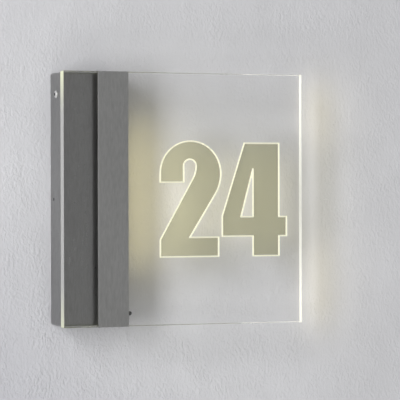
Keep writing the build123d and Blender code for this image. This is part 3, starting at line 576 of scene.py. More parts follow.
@dataclass(frozen=True)
class PvcSheath:
    """Extruded PVC insulation of a lead, with faint draw lines, and a second colour in spiral bands."""

    name: str
    colour: str
    band: str
    band_mm: float = 3.2
    band_share: float = 0.0
    roughness: Pair = (0.34, 0.48)
    draw_mm: Triple = (0.5, 0.5, 6.0)
    draw_depth_mm: float = 0.01
    draw_shade: Pair = (-0.04, 0.04)

    def build(self) -> Material:
        """Bands are a saw wave that climbs with the height and the sideways place.

        Returns:
            The material.
        """
        surface = Surface(self.name)
        draw = surface.grain(self.draw_mm, detail=3.0)
        across, _, up = surface.add(SPLIT, [surface.place]).node.outputs
        climb = surface.add(MATHS, [up, across], operation="ADD")
        turns = surface.add(MATHS, [climb, self.band_mm * MM], operation="DIVIDE")
        wave = surface.add(MATHS, [turns], operation="FRACT")
        bands = surface.add(MATHS, [wave, self.band_share], operation="LESS_THAN")
        draw_lines = surface.add(RANGE, [draw, *MOST, *self.draw_shade])
        shade = surface.add(MATHS, [bands, draw_lines], operation="ADD")
        surface.give(Base_Color=surface.two_tone(shade, self.colour, self.band, 0.0, 1.0), IOR=PVC_IOR)
        surface.roughen(draw, self.roughness)
        surface.relief(draw, self.draw_depth_mm)
        return surface.material


@dataclass(frozen=True)
class PaintedPlaster:
    """Rolled paint on plaster: the orange-peel skin of a nap roller over a faintly wavy wall."""

    name: str = "rolled_paint_on_plaster"
    colour: str = "cdcdcf"
    shade: str = "c6c6c8"
    lower_left_shade: str = "bababe"
    peel_mm: Triple = (2.6, 2.6, 4.2)
    peel_depth_mm: float = 0.98
    shown_paler: float = 0.0
    # The nap was drier towards the lower left, where the peel stands out twice as much. The paint is also
    # darker there: a painted shade for the light that falls off towards the lower left. These are places
    # along the rising diagonal, X + Z, in metres.
    peel_fades: Pair = (-0.25, 0.15)
    peel_share: Pair = (1.0, 0.5)
    painted_shade_span: Pair = (-0.07, -0.27)
    # A roller leaves the peel stronger in some patches than in others.
    patch_mm: Triple = (26.0, 26.0, 34.0)
    patch_strength: Pair = (0.5, 1.55)
    wave_mm: Triple = (90.0, 90.0, 90.0)
    roughness: float = 0.85

    def build(self) -> Material:
        """Orange peel is soft grain over broad waves; the wall is seen through only from behind.

        Returns:
            The material.
        """
        surface = Surface(self.name)
        peel = surface.grain(self.peel_mm, detail=2.0, rough=0.45, warp=0.5)
        waves = surface.grain(self.wave_mm, detail=2.0)
        across, _, up = surface.add(SPLIT, [surface.place]).node.outputs
        diagonal = surface.add(MATHS, [across, up], operation="ADD")
        paint = surface.two_tone(waves, self.colour, self.shade)
        # Painted shade: the paint darkens towards the lower left, where less light falls.
        paint = surface.two_tone(diagonal, paint, self.lower_left_shade, *self.painted_shade_span)
        dry = surface.add(RANGE, [diagonal, *self.peel_fades, *self.peel_share])
        patches = surface.add(RANGE, [surface.grain(self.patch_mm, detail=1.0), *MOST, *self.patch_strength])
        strength = surface.add(MATHS, [dry, patches], operation="MULTIPLY")
        surface.relief(surface.add(MATHS, [peel, strength], operation="MULTIPLY"), self.peel_depth_mm)
        # Pale for the eye, straight or through the clear panel, without more light on the sign.
        path = surface.add("ShaderNodeLightPath").node.outputs
        rays = [path["Is Camera Ray"], path["Is Transmission Ray"]]
        seen = surface.add(MATHS, rays, operation="MAXIMUM")
        surface.give(Base_Color=paint, Roughness=self.roughness, Emission_Color=linear(self.colour))
        surface.give(Emission_Strength=surface.add(MATHS, [seen, self.shown_paler], operation="MULTIPLY"))
        surface.show_clear(surface.add("ShaderNodeNewGeometry", output="Backfacing"))
        return surface.material


# ---------------------------------------------------------------- meshes
def new_piece(name: str, points: Array, faces: Array | list, materials: list[Material],
              slots: Array | None = None, smooth: bool = False) -> Piece:
    """Makes a mesh object at the origin from arrays.

    Args:
        name: Name of the piece.
        points: Points in metres, one row each.
        faces: Rows of point numbers.
        materials: Materials of its slots, in order.
        slots: Slot number of each face.
        smooth: Whether the faces are shaded smooth, up to SHARP_ANGLE.

    Returns:
        The new object, linked to the scene.
    """
    mesh = bpy.data.meshes.new(name)
    mesh.from_pydata(np.asarray(points, float).tolist(), [], np.asarray(faces).tolist())
    for material in materials:
        mesh.materials.append(material)
    if slots is not None:
        mesh.polygons.foreach_set("material_index", np.asarray(slots, np.int32))
    mesh.polygons.foreach_set("use_smooth", np.full(len(mesh.polygons), smooth))
    mesh.update()
    if smooth:
        mesh.set_sharp_from_angle(angle=SHARP_ANGLE)
    piece = bpy.data.objects.new(name, mesh)
    bpy.context.scene.collection.objects.link(piece)
    return piece


def stand_in(name: str, node: str, shape: Shape, materials: list[Material],
             smooth: bool = True) -> Piece:
    """Makes a piece that rides on the lamp and stands for a CAD node.

    Args:
        name: Name of the piece.
        node: The CAD node.
        shape: Points, triangles and the triangles' slot numbers.
        materials: Materials of its slots, in order.
        smooth: Whether the faces are shaded smooth.

    Returns:
        The new object.
    """
    points, triangles, slots = shape
    piece = new_piece(name, points, triangles, materials, slots, smooth)
    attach(piece, "lamp")
    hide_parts(node)
    log.info("%s: %d faces, %d of them in the first finish", name, len(slots), np.count_nonzero(slots == 0))
    return piece


def dress(frame: dict, finishes: dict[str, Material]) -> None:
    """Puts one finish on each of some CAD nodes.

    Args:
        finishes: The finish of each node, by its name.
    """
    for name, material in finishes.items():
        for slot in frame["nodes"][name].material_slots:
            slot.material = material
        log.info("%s: %s", name, material.name)


def welded(node: Piece, step: float = 1e-6) -> tuple[Array, Array]:
    """Points and triangles of a CAD node with its double points merged.

    Args:
        node: The CAD node's object, which isn't changed.
        step: Points closer than this, in metres, are one.

    Returns:
        Points, one row each, and triangles as rows of three point numbers.
    """
    mesh = node.data
    mesh.calc_loop_triangles()
    raw = np.empty(len(mesh.vertices) * 3)
    mesh.vertices.foreach_get("co", raw)
    corners = np.empty(len(mesh.loop_triangles) * 3, np.int64)
    mesh.loop_triangles.foreach_get("vertices", corners)
    keys = np.round(raw.reshape(-1, 3) / step).astype(np.int64)
    _, first, place = np.unique(keys, axis=0, return_index=True, return_inverse=True)
    triangles = place.reshape(-1)[corners].reshape(-1, 3)
    whole = (triangles != np.roll(triangles, 1, axis=1)).all(axis=1)
    return raw.reshape(-1, 3)[first], triangles[whole]


def solids(node: Piece) -> list[Array]:
    """Points of each separate solid of a CAD node.

    Each point starts with its own number, and the lowest number of each triangle spreads over its three
    points until nothing changes. Points with the same number are one solid.

    Args:
        node: The CAD node's object, which isn't changed.

    Returns:
        One array of points for each solid.
    """
    points, triangles = welded(node)
    label = np.arange(len(points))
    changed = True
    while changed:
        spread = label.copy()
        np.minimum.at(spread, triangles.ravel(), np.repeat(label[triangles].min(axis=1), 3))
        spread = spread[spread]
        changed = bool((spread != label).any())
        label = spread
    return [points[label == mark] for mark in np.unique(label)]


def box_of(points: Array) -> tuple[Array, Array, Array]:
    """Lowest corner, highest corner and middle of some points."""
    low, high = points.min(axis=0), points.max(axis=0)
    return low, high, (low + high) / 2


def once_round(columns: int) -> Array:
    """Angles of that many columns, once round from 0."""
    return np.arange(columns) * FULL_TURN / columns


def polygon_radius(angle: Array, flats: float, sides: int) -> Array:
    """Half the width over flats / cosine of the angle to the nearest flat's middle; one of them is at 0."""
    step = FULL_TURN / sides
    return flats / 2 / np.cos((angle + step / 2) % step - step / 2)


def ring_surface(radius: Array, height: Array, loop: bool = False) -> tuple[Array, Array]:
    """Closed surface through rings about +Z: point = (radius cos a, radius sin a, height), a once round.

    Args:
        radius: One row for each ring and one column for each angle.
        height: One value for each ring.
        loop: Joins the last ring to the first. Otherwise a fan of triangles closes each end at its middle.

    Returns:
        Points, one row each, and triangles that face outwards.
    """
    rings, count = radius.shape
    angle = once_round(count)
    tall = np.broadcast_to(np.asarray(height)[:, None], radius.shape)
    points = np.stack([radius * np.cos(angle), radius * np.sin(angle), tall], axis=2).reshape(-1, 3)
    here = (np.arange(rings if loop else rings - 1) * count)[:, None]
    above = (here + count) % (rings * count)
    now = np.arange(count)
    after = (now + 1) % count
    lower = np.stack([here + now, here + after, above + after], axis=2)
    upper = np.stack([here + now, above + after, above + now], axis=2)
    parts = [lower.reshape(-1, 3), upper.reshape(-1, 3)]
    if not loop:
        first, last = len(points), len(points) + 1
        top = (rings - 1) * count
        points = np.concatenate([points, [(0.0, 0.0, height[0]), (0.0, 0.0, height[-1])]])
        parts.append(np.column_stack([np.full(count, first), after, now]))
        parts.append(np.column_stack([np.full(count, last), top + now, top + after]))
    triangles = np.concatenate(parts)
    a, b, c = (points[triangles[:, k]] for k in range(3))
    inside_out = np.einsum("ij,ij->i", a, np.cross(b, c)).sum() < 0
    return points, triangles[:, ::-1] if inside_out else triangles


def turned_to(points: Array, axis: int, outward: float = 1.0, spin: float = 0.0) -> Array:
    """Turns points that were built about +Z so that +Z runs along an axis.

    Args:
        points: Points, one row each.
        axis: 0, 1 or 2.
        outward: Positive for the axis's own direction, negative for the opposite one.
        spin: Turn about the points' own axis first, in radians.

    Returns:
        The turned points.
    """
    first, second = (axis + 1) % 3, (axis + 2) % 3
    if outward < 0:
        first, second = second, first
    result = np.empty_like(points)
    result[:, first] = points[:, 0] * math.cos(spin) - points[:, 1] * math.sin(spin)
    result[:, second] = points[:, 0] * math.sin(spin) + points[:, 1] * math.cos(spin)
    result[:, axis] = points[:, 2] * math.copysign(1.0, outward)
    return result


def for_each_solid(node: Piece, make: Callable[[Array], Shape]) -> Shape:
    """Makes one shape for each solid of a CAD node and joins them.

    Args:
        node: The CAD node's object, which isn't changed.
        make: What gives the shape for one solid's points.

    Returns:
        All points, all triangles and all slot numbers.
    """
    points, triangles, slots = zip(*(make(solid) for solid in solids(node)))
    starts = np.cumsum([0] + [len(part) for part in points[:-1]])
    placed = [part + start for part, start in zip(triangles, starts)]
    return np.concatenate(points), np.concatenate(placed), np.concatenate(slots)


# ---------------------------------------------------------------- sub-assemblies
@dataclass(frozen=True)
class Thread:
    """A metric thread, cut into a shank of the crest's radius."""

    pitch: float
    depth_share: float = 0.61
    rings_per_pitch: int = 6

    def rings(self, angle: Array, length: float, crest: float) -> tuple[Array, Array]:
        """Radius = crest - depth times the triangle wave of height / pitch - angle / full turn, held inside a
        chamfer of half a pitch at each end.

        Args:
            angle: Angles of the columns.
            length: Length of the shank, from 0 upwards.
            crest: Radius of the thread's crest.

        Returns:
            Radius of each point, a row for each ring, and each ring's height.
        """
        height = np.linspace(0.0, length, int(length / self.pitch * self.rings_per_pitch) + 2)
        phase = (height[:, None] / self.pitch - angle[None, :] / FULL_TURN) % 1.0
        cut = self.depth_share * self.pitch * np.abs(2 * phase - 1)
        from_end = np.minimum(height, length - height)[:, None]
        return np.minimum(crest - cut, crest - self.pitch / 2 + from_end), height


@dataclass
class Fastenings:
    """The screws, studs and nuts, turned and pressed as real ones are, where the CAD solids stand."""

    frame: dict
    columns: int = 36
    head_flat: float = 2.1 * MM
    head_radius: float = 3.8 * MM
    head_height: float = 2.4 * MM
    head_rim: float = 0.45 * MM
    dome_rings: int = 8
    socket_flats: float = 2.5 * MM
    socket_depth: float = 1.4 * MM
    socket_lead_in: float = 0.32 * MM
    # The socket's dark finish starts this far below the crown: painted shade for the recess, over some dark
    # scale.
    socket_shade_start: float = 0.08 * MM
    socket_floor_share: float = 0.5
    edge_break: float = 0.12 * MM
    shank_radius: float = 2.0 * MM
    screw_thread: Thread = Thread(0.7 * MM)
    small_thread: Thread = Thread(0.5 * MM)
    small_radius: float = 1.6 * MM
    # Rings of a nut's lower half, as shares of its height; the upper half mirrors them.
    nut_rings: tuple[float, ...] = (0.0, 0.05, 0.1, 0.16, 0.25)
    nut_face_share: float = 0.94
    nut_slope: float = 1.73
    countersink: float = 0.25 * MM
    # A nut is a hexagon where it is wider than this one way than the other, and otherwise a square.
    hexagon_ratio: float = 1.05

    @property
    def angle(self) -> Array:
        """Angles of the columns, once round."""
        return once_round(self.columns)

    def build(self) -> None:
        """Makes each kind as one piece that stands for its CAD node."""
        shine = {"roughness": (0.10, 0.2), "grain_mm": (0.8, 0.8, 0.8)}
        polished = MachinedMetal("polished_stainless_screws", "ececea", "dededb", **shine).build()
        # The socket's dark finish is mostly painted shade, standing for the shadow deep in the hexagon
        # recess, over some dark scale.
        socket = MachinedMetal("punched_socket_with_dark_scale", "2c2c30", "1e1e20", (0.45, 0.6)).build()
        rolled = MachinedMetal("rolled_stainless_studs", "b4b4b2", "9a9a98").build()
        pressed = MachinedMetal("pressed_stainless_nuts", "bcbcba", "a4a4a1", (0.25, 0.42)).build()
        nylon = MouldedPlastic("moulded_black_nylon_nut", "1b1b1d", "232325", (0.4, 0.55)).build()
        kinds = {
            "fixing_screws": (self.screw, [polished, socket]),
            "bar_studs": (self.stud, [rolled]),
            "weld_studs": (self.stud, [rolled]),
            "stud_nuts": (self.nut, [pressed]),
            "stud_lock_nuts": (self.nut, [pressed]),
            "fixing_nuts": (self.nut, [pressed]),
            "sensor_nut": (self.nut, [nylon]),
        }
        for name, (make, materials) in kinds.items():
            stand_in(f"{name}_made", name, for_each_solid(self.frame["nodes"][name], make), materials)

    def screw(self, solid: Array) -> Shape:
        """Button head screw: threaded shank, rim, quarter ellipse up to the flat crown, hexagon socket.

        Args:
            solid: Points of the CAD screw.

        Returns:
            The shape in the screw's place; the socket is slot 1, and its dark finish is painted shade for the
            recess.
        """
        low, high, middle = box_of(solid)
        axis = int(np.argmax(high - low))
        length = (high - low)[axis]
        under = length - self.head_height
        shank, shank_height = self.screw_thread.rings(self.angle, under, self.shank_radius)
        climb = np.linspace(0.0, math.pi / 2, self.dome_rings)
        dome = self.head_flat + (self.head_radius - self.head_flat) * np.cos(climb)
        dome_height = under + self.head_rim + (self.head_height - self.head_rim) * np.sin(climb)
        head = np.concatenate([[self.head_radius - self.edge_break, self.head_radius], dome])
        hexagon = polygon_radius(self.angle, self.socket_flats, 6)
        floor = hexagon * self.socket_floor_share
        socket = np.stack([hexagon + self.socket_lead_in, hexagon, hexagon, floor])
        depth = np.array([0.0, self.socket_lead_in, self.socket_depth, self.socket_depth + self.edge_break])
        radius = np.concatenate([shank, np.repeat(head[:, None], self.columns, axis=1), socket])
        rim_height = [under, under + self.edge_break]
        height = np.concatenate([shank_height, rim_height, dome_height, length - depth])
        points, triangles = ring_surface(radius, height)
        spot = points[triangles].mean(axis=1)
        # Triangles inside the socket take the dark finish, which is painted shade for the recess.
        dark = np.hypot(spot[:, 0], spot[:, 1]) < self.head_flat - self.edge_break
        dark &= (spot[:, 2] > under) & (spot[:, 2] < length - self.socket_shade_start)
        points = turned_to(points, axis, middle[axis])
        middle[axis] = low[axis] if middle[axis] > 0 else high[axis]
        return points + middle, triangles, dark

    def stud(self, solid: Array) -> Shape:
        """Threaded stud: a threaded shank along the depth, with a fan at each end.

        Args:
            solid: Points of the CAD stud.

        Returns:
            The shape in the stud's place.
        """
        low, high, middle = box_of(solid)
        crest = (high - low)[0] / 2
        thread = self.small_thread if crest < self.small_radius else self.screw_thread
        points, triangles = ring_surface(*thread.rings(self.angle, (high - low)[1], crest))
        middle[1] = low[1]
        return turned_to(points, 1) + middle, triangles, np.zeros(len(triangles), bool)

    def nut(self, solid: Array) -> Shape:
        """Nut: the polygon's radius, held inside a cone at each face, and a countersunk bore.

        Args:
            solid: Points of the CAD nut.

        Returns:
            The shape in the nut's place.
        """
        low, high, middle = box_of(solid)
        axis = int(np.argmin(high - low))
        thick = (high - low)[axis]
        first, second = (high - low)[(axis + 1) % 3], (high - low)[(axis + 2) % 3]
        flats = min(first, second)
        sides = 6 if max(first, second) > self.hexagon_ratio * flats else 4
        spin = math.pi / 6 if sides == 6 and first > second else 0.0
        across = np.delete(solid - middle, axis, axis=1)
        bore = np.hypot(across[:, 0], across[:, 1]).min()
        shares = np.array(self.nut_rings)
        height = thick * np.concatenate([shares, [0.5], 1 - shares[::-1]])
        from_face = np.minimum(height, thick - height)[:, None]
        cone = self.nut_face_share * flats / 2 + self.nut_slope * from_face
        outer = np.minimum(polygon_radius(self.angle, flats, sides)[None, :], cone)
        inner = bore + np.array([self.countersink, 0.0, 0.0, self.countersink])
        inner_height = [thick, thick - self.countersink, self.countersink, 0.0]
        radius = np.concatenate([outer, np.repeat(inner[:, None], self.columns, axis=1)])
        points, triangles = ring_surface(radius, np.concatenate([height, inner_height]), loop=True)
        middle[axis] = low[axis]
        return turned_to(points, axis, spin=spin) + middle, triangles, np.zeros(len(triangles), bool)


class PanelSurface(Enum):
    """The slots of the clear panel's mesh."""

    FACE = 0
    EDGE = 1
    MILLED = 2


@dataclass
class ClearPanel:
    """The acrylic panel with its milled lines, and the films in the digits."""

    frame: dict
    skin_gap: float = 0.05 * MM
    border: float = 0.5 * MM
    digits_from_x: float = 0.060
    recess: float = 0.02 * MM
    face_skin: float = 2 * MM
    upright_below: float = 0.5

    def build(self) -> None:
        """Copies the panel's shape, splits its surfaces and dresses the films."""
        low, high = (np.array(corner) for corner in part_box("acrylic_panel"))
        points, triangles = welded(self.frame["nodes"]["acrylic_panel"])
        corners = points[triangles]
        x, y, z = corners.mean(axis=1).T
        normal = np.cross(corners[:, 1] - corners[:, 0], corners[:, 2] - corners[:, 0])
        normal = np.abs(normal / (np.linalg.norm(normal, axis=1, keepdims=True) + np.finfo(float).tiny))
        upright = normal[:, 1] < self.upright_below
        outer = (x < low[0] + self.border) | (x > high[0] - self.border) | (np.abs(z) > high[2] - self.border)
        in_back = (y < high[1] - self.recess) & (y > low[1] + self.face_skin)
        milled = (x > self.digits_from_x) & in_back & ~outer
        slots = np.full(len(triangles), PanelSurface.FACE.value)
        slots[upright & outer] = PanelSurface.EDGE.value
        slots[milled] = PanelSurface.MILLED.value
        # The two faces draw back by a hair, so that they don't lie in the steel's and the bar's own planes.
        share = (points[:, 1] - low[1]) / (high[1] - low[1])
        points[:, 1] += self.skin_gap * (1 - 2 * share)
        finishes = [ClearAcrylic().build(), SawnAcrylicEdge(high[0]).build(), MilledAcrylic().build()]
        shape = points, triangles, slots
        panel = stand_in("clear_panel", "acrylic_panel", shape, finishes, smooth=False)
        # A groove's wall shows its run by its normal, and its floor by the longest side of each triangle.
        sides = np.roll(corners, -1, axis=1) - corners
        lengths = np.linalg.norm(sides, axis=2)
        longest = sides[np.arange(len(sides)), lengths.argmax(axis=1)] / lengths.max(axis=1)[:, None]
        facing_light = np.where(upright, normal[:, 0], np.abs(longest[:, 2]))
        for name, values in ((UPRIGHT_EDGE, normal[:, 0]), (FACING_LIGHT, facing_light)):
            attribute = panel.data.attributes.new(name, "FLOAT", "FACE")
            attribute.data.foreach_set("value", values.astype(np.float32))
        film = TintedFilm().build()
        dress(self.frame, {"digit_2_film": film, "digit_4_film": film})


@dataclass
class SteelWork:
    """The housing, the clamp bar, the bracket and their plain washers and screws."""

    frame: dict

    def build(self) -> None:
        """Dresses the steel pieces."""
        sides = tuple(corner[0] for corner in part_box("clamp_bar"))
        housing = BrushedSteel("brushed_stainless_housing", "989897", "888887", (0.26, 0.38))
        bar = BrushedSteel("brushed_stainless_bar", "b7b7b6", "a3a3a2", (0.3, 0.42), cut_sides=sides)
        stainless = MachinedMetal("turned_stainless", "b4b4b2", "9a9a98").build()
        dress(self.frame, {
            "housing_shell": housing.build(),
            "clamp_bar": bar.build(),
            "bracket_plate": GalvanisedSheet().build(),
            "stud_washers": stainless,
            "terminal_screws": stainless,
        })


@dataclass
class LightRow:
    """The aluminium carrier with its board, light packages and resistors."""

    frame: dict
    columns: int = 40
    corner_power: float = 9.0
    rim: float = 0.1 * MM
    pool_radius: float = 1.1 * MM
    pool_depth: float = 0.15 * MM
    pool_floor_share: float = 0.5

    def package(self, solid: Array) -> Shape:
        """Light package: rings on a superellipse, |cos a / half y|^n + |sin a / half z|^n = r^-n, and a pool.

        Args:
            solid: Points of the CAD chip, which faces +X.

        Returns:
            The shape in the chip's place; the phosphor is slot 1.
        """
        low, high, middle = box_of(solid)
        tall, half_y, half_z = (high - low) / (1, 2, 2)
        angle = once_round(self.columns)
        along_y = np.abs(np.cos(angle) / half_y) ** self.corner_power
        along_z = np.abs(np.sin(angle) / half_z) ** self.corner_power
        outline = (along_y + along_z) ** (-1 / self.corner_power)
        pool = np.full(self.columns, self.pool_radius)
        rings = [outline, outline, outline - self.rim, pool, pool - self.rim, pool * self.pool_floor_share]
        floor = tall - self.pool_depth
        height = np.array([0.0, tall - self.rim, tall, tall, floor, floor + self.rim / 2])
        points, triangles = ring_surface(np.stack(rings), height)
        spot = points[triangles].mean(axis=1)
        lit = (spot[:, 2] > floor / 2) & (np.hypot(spot[:, 0], spot[:, 1]) < self.pool_radius - self.rim / 2)
        middle[0] = low[0]
        return turned_to(points, 0) + middle, triangles, lit

    def build(self) -> None:
        """Dresses the pieces of the row of lights and makes the packages."""
        aluminium = MachinedMetal("extruded_aluminium", "c4c6c8", "b2b4b6", (0.3, 0.45), (0.3, 0.3, 12.0))
        dress(self.frame, {
            "led_carrier": aluminium.build(),
            "led_board": PrintedBoard("white_solder_mask", "e8e8e4", "dadad2").build(),
            "led_resistors": MouldedPlastic("resistor_ceramic", "26262a", "303034").build(),
        })
        body = MouldedPlastic("moulded_white_reflector", "ececea", "e2e2de", (0.35, 0.5)).build()
        packages = for_each_solid(self.frame["nodes"]["led_chips"], self.package)
        stand_in("light_packages", "led_chips", packages, [body, LightPhosphor().build()])


@dataclass
class Electrics:
    """The driver, the terminal block, the dusk sensor, the grommet and the leads."""

    frame: dict

    def build(self) -> None:
        """Dresses the electrical pieces."""
        finishes = {
            "driver_case": MouldedPlastic("moulded_white_polycarbonate", "dfe0dc", "d6d7d2"),
            "driver_lid": MouldedPlastic("moulded_white_polycarbonate_lid", "dbdcd8", "d2d3ce"),
            "driver_board": PrintedBoard("green_solder_mask", "1f5c3a", "2f7a4e"),
            "driver_transformer": MouldedPlastic("polyester_winding_tape", "d8b541", "c7a338", (0.3, 0.42)),
            "driver_capacitor": MouldedPlastic("capacitor_sleeve", "23252c", "2c2f38", (0.25, 0.35)),
            "terminal_block": MouldedPlastic("moulded_natural_nylon", "dcdcd2", "d0d0c4", (0.38, 0.5)),
            "terminal_clamps": MachinedMetal("turned_brass", "c9a75a", "b08f48"),
            "earth_lug": MachinedMetal("tinned_copper", "bfc0be", "aaaba8"),
            "stud_sleeves": MouldedPlastic("turned_natural_nylon", "e4e4da", "d9d9cc", (0.4, 0.5)),
            "cable_grommet": MouldedPlastic("black_rubber", "1e1e1f", "262627", (0.55, 0.72)),
            "sensor_holder": MouldedPlastic("moulded_black_nylon", "1b1b1d", "232325", (0.4, 0.55)),
            "sensor_eye": MouldedPlastic(
                "smoked_cast_resin", "0e0e10", "151518", (0.05, 0.12), see_through=0.3),
            "live_lead": PvcSheath("pvc_brown", "5a3a26", "4d3120"),
            "neutral_lead": PvcSheath("pvc_blue", "2c5aa0", "254c8a"),
            "earth_lead": PvcSheath("pvc_green_yellow", "2f8a3c", "e2cf2e", band_share=0.45),
            "light_lead_positive": PvcSheath("pvc_red", "a3201f", "8f1b1b"),
            "light_lead_negative": PvcSheath("pvc_black", "1d1d1f", "27272a"),
            "sensor_lead_signal": PvcSheath("pvc_white", "dcdcd6", "cfcfc8"),
            "sensor_lead_return": PvcSheath("pvc_grey", "85878a", "797b7e"),
        }
        dress(self.frame, {name: finish.build() for name, finish in finishes.items()})


# ---------------------------------------------------------------- stage, light and camera
@dataclass
class Stage:
    """The plaster wall and the pale floor below it.

    The wall is in two pieces. The patch that the housing covers is seen, but light passes it, so that the
    bracket's back and the inside of the housing are lit in views from behind.
    """

    wall_y: float = 0.0006
    wall_half: float = 2.2
    floor_z: float = -1.3
    floor_depth: float = 5.0
    patch_x: Pair = (-0.0305, 0.0305)
    patch_z: Pair = (-0.1225, 0.1225)

    def build(self) -> None:
        """The wall is a grid of nine faces without the middle one, the patch; the floor is one face."""
        half = self.wall_half
        across, up = np.meshgrid((-half, *self.patch_x, half), (self.floor_z, *self.patch_z, half))
        points = np.column_stack([across.ravel(), np.full(across.size, self.wall_y), up.ravel()])
        corner = np.arange(across.size).reshape(across.shape)
        squares = [corner[:-1, :-1], corner[:-1, 1:], corner[1:, 1:], corner[1:, :-1]]
        cells = np.stack(squares, axis=2).reshape(-1, 4)
        middle = len(cells) // 2
        plaster = [PaintedPlaster().build()]
        wall = new_piece("plaster_wall", points, np.delete(cells, middle, axis=0), plaster)
        patch = new_piece("plaster_behind_housing", points[cells[middle]], [[0, 1, 2, 3]], plaster)
        patch.visible_diffuse = False
        patch.visible_glossy = False
        front, back = (-self.floor_depth, self.floor_z), (self.wall_y, self.floor_z)
        corners = np.array([(-half, *front), (half, *front), (half, *back), (-half, *back)])
        grain = {"peel_mm": (8.0, 8.0, 8.0), "peel_depth_mm": 0.2}
        screed = PaintedPlaster("pale_screed_floor", "d2d2d0", "cbcbc9", "cfcfcd", **grain, shown_paler=0.42)
        floor = new_piece("pale_floor", corners, [[0, 1, 2, 3]], [screed.build()])
        for plane in (wall, patch, floor):
            plane.visible_shadow = False


@dataclass(frozen=True)
class Lamp:
    """One area lamp."""

    name: str
    place: Triple
    aim: Triple
    size: Pair
    power: float
    colour: str = "ffffff"

    def build(self, parent: Piece | None = None) -> None:
        """Places the lamp, turned towards its aim, unseen by the camera, in mirrors and through the panel.

        The panel lets lamps through by its shadow rays, so rays that it bends don't count the lamp once more.
        Metal mirrors the sky's soft glow instead of the lamps, so that no face of it turns plain white.

        Args:
            parent: The body that carries the lamp, if any.
        """
        data = bpy.data.lights.new(self.name, "AREA")
        data.shape = "RECTANGLE"
        data.size, data.size_y = self.size
        data.energy = self.power
        data.color = linear(self.colour)[:3]
        lamp = bpy.data.objects.new(self.name, data)
        bpy.context.scene.collection.objects.link(lamp)
        lamp.location = self.place
        lamp.rotation_euler = (Vector(self.aim) - Vector(self.place)).to_track_quat("-Z", "Y").to_euler()
        lamp.visible_camera = False
        lamp.visible_transmission = False
        lamp.visible_glossy = False
        lamp.parent = parent


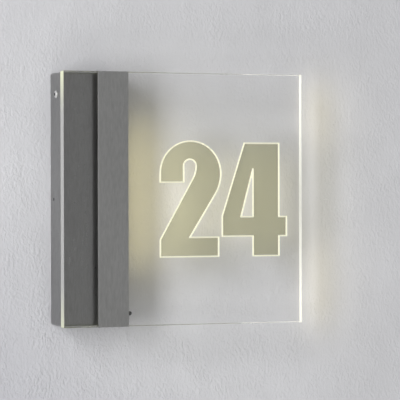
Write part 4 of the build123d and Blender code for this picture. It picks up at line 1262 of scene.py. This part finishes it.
@dataclass
class Daylight:
    """The soft daylight from the left, the sky's even light, and the sign's own spill on the wall."""

    frame: dict
    sky: str = "ffffff"
    sky_strength: float = 0.40
    backdrop: str = "dededf"
    mirror_glow: float = 0.6
    # Cosine of the angle to the window where the mirrored glow starts, and where it is full.
    glow_lobe: Pair = (0.5, 1.0)
    daylight: tuple[Lamp, ...] = (
        Lamp("tall_window", (-1.75, -1.75, 0.32), (0.05, 0, 0), (0.7, 2.4), 58.5, "fdfdff"),
        Lamp("low_fill", (-0.35, -1.2, -1.25), (0.02, 0, -0.1), (0.8, 0.6), 3.0),
        Lamp("behind_left", (-0.7, 1.9, 0.7), (0.05, 0, 0), (1.2, 1.2), 26.0),
        Lamp("behind_right", (0.9, 1.7, -0.2), (0.05, 0, 0), (1.0, 1.0), 10.0),
    )
    spill: tuple[Lamp, ...] = (
        Lamp("spill_by_bar", (0.053, -0.030, 0.005), (0.071, 0, 0.005), (0.006, 0.145), 0.0160, "ffefa2"),
        Lamp("spill_behind_digits", (0.157, -0.014, 0), (0.157, 0, 0), (0.135, 0.085), 0.0172, "fff8e2"),
        Lamp("edge_spill_high", (0.255, -0.026, 0.088), (0.260, 0, 0.088), (0.020, 0.060), 0.0047, "fff2c4"),
        Lamp("edge_spill_middle", (0.258, -0.026, 0.008), (0.263, 0, 0.008), (0.016, 0.10), 0.0034, "fff6c4"),
        Lamp("edge_spill_low", (0.255, -0.026, -0.090), (0.260, 0, -0.090), (0.020, 0.085), 0.0060, "fff2c4"),
    )

    def build(self) -> None:
        """Sets the world and the lamps; the spill lamps ride on the lamp body."""
        self.paint_sky()
        for lamp in self.daylight:
            lamp.build()
        for lamp in self.spill:
            lamp.build(self.frame["bodies"]["lamp"])

    def paint_sky(self) -> None:
        """Even light from all round, with a pale backdrop for the eye and a soft glow for mirrors."""
        world = bpy.data.worlds.new("even_sky")
        nodes = Nodes(world, "ShaderNodeOutputWorld")
        path = nodes.add("ShaderNodeLightPath").node.outputs
        # What the camera sees, straight or through the clear panel, is the backdrop.
        bounces = nodes.add(MATHS, [path["Diffuse Depth"], path["Glossy Depth"]], operation="ADD")
        direct = nodes.add(MATHS, [bounces, 0.5], operation="LESS_THAN")
        through = nodes.add(MATHS, [path["Is Transmission Ray"], direct], operation="MULTIPLY")
        seen = nodes.add(MATHS, [path["Is Camera Ray"], through], operation="MAXIMUM")
        # Metal mirrors a soft glow round the window, as it would in a room of pale walls.
        ray = nodes.add("ShaderNodeTexCoord", output="Generated")
        window = Vector(self.daylight[0].place).normalized()
        towards = nodes.add("ShaderNodeVectorMath", [ray, window], "Value", operation="DOT_PRODUCT")
        lobe = [towards, *self.glow_lobe, 0.0, self.mirror_glow]
        glow = nodes.add(RANGE, lobe, interpolation_type="SMOOTHSTEP")
        mirrored = [glow, path["Is Glossy Ray"], self.sky_strength]
        strength = nodes.add(MATHS, mirrored, operation="MULTIPLY_ADD")
        light = nodes.add("ShaderNodeBackground", [linear(self.sky), strength])
        backdrop = nodes.add("ShaderNodeBackground", [linear(self.backdrop), 1.0])
        nodes.supply(nodes.surface, nodes.add("ShaderNodeMixShader", [seen, light, backdrop]))
        bpy.context.scene.world = world


@dataclass(frozen=True)
class PhotoCamera:
    """The camera of the photograph, found from the edges of the sign in it."""

    lens_mm: float = 185.7
    sensor_mm: float = 36.0
    place: Triple = (-0.5905, -1.973, 0.0061)
    yaw_deg: float = 19.93
    pitch_deg: float = -0.202
    roll_deg: float = -0.139

    def build(self) -> None:
        """Yaw turns from +Y towards +X, pitch is up, and roll turns the right axis towards the up axis."""
        yaw, pitch, roll = (math.radians(angle) for angle in (self.yaw_deg, self.pitch_deg, self.roll_deg))
        data = bpy.data.cameras.new("photo_camera")
        data.sensor_width = self.sensor_mm
        data.lens = self.lens_mm
        camera = bpy.data.objects.new("photo_camera", data)
        bpy.context.scene.collection.objects.link(camera)
        turns = ((-yaw, "Z"), (math.pi / 2 + pitch, "X"), (roll, "Z"))
        yawed, pitched, rolled = (Matrix.Rotation(turn, 4, axis) for turn, axis in turns)
        camera.matrix_world = Matrix.Translation(self.place) @ yawed @ pitched @ rolled
        bpy.context.scene.camera = camera


def main() -> None:
    """Builds the scene in order: frame, camera, stage, light and the sub-assemblies."""
    logging.basicConfig(level=logging.INFO, format="%(name)s: %(message)s")
    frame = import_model()
    bpy.context.scene.view_settings.view_transform = "Standard"
    PhotoCamera().build()
    Stage().build()
    for part in (Daylight, ClearPanel, SteelWork, Fastenings, LightRow, Electrics):
        part(frame).build()


if __name__ == "__main__":
    main()
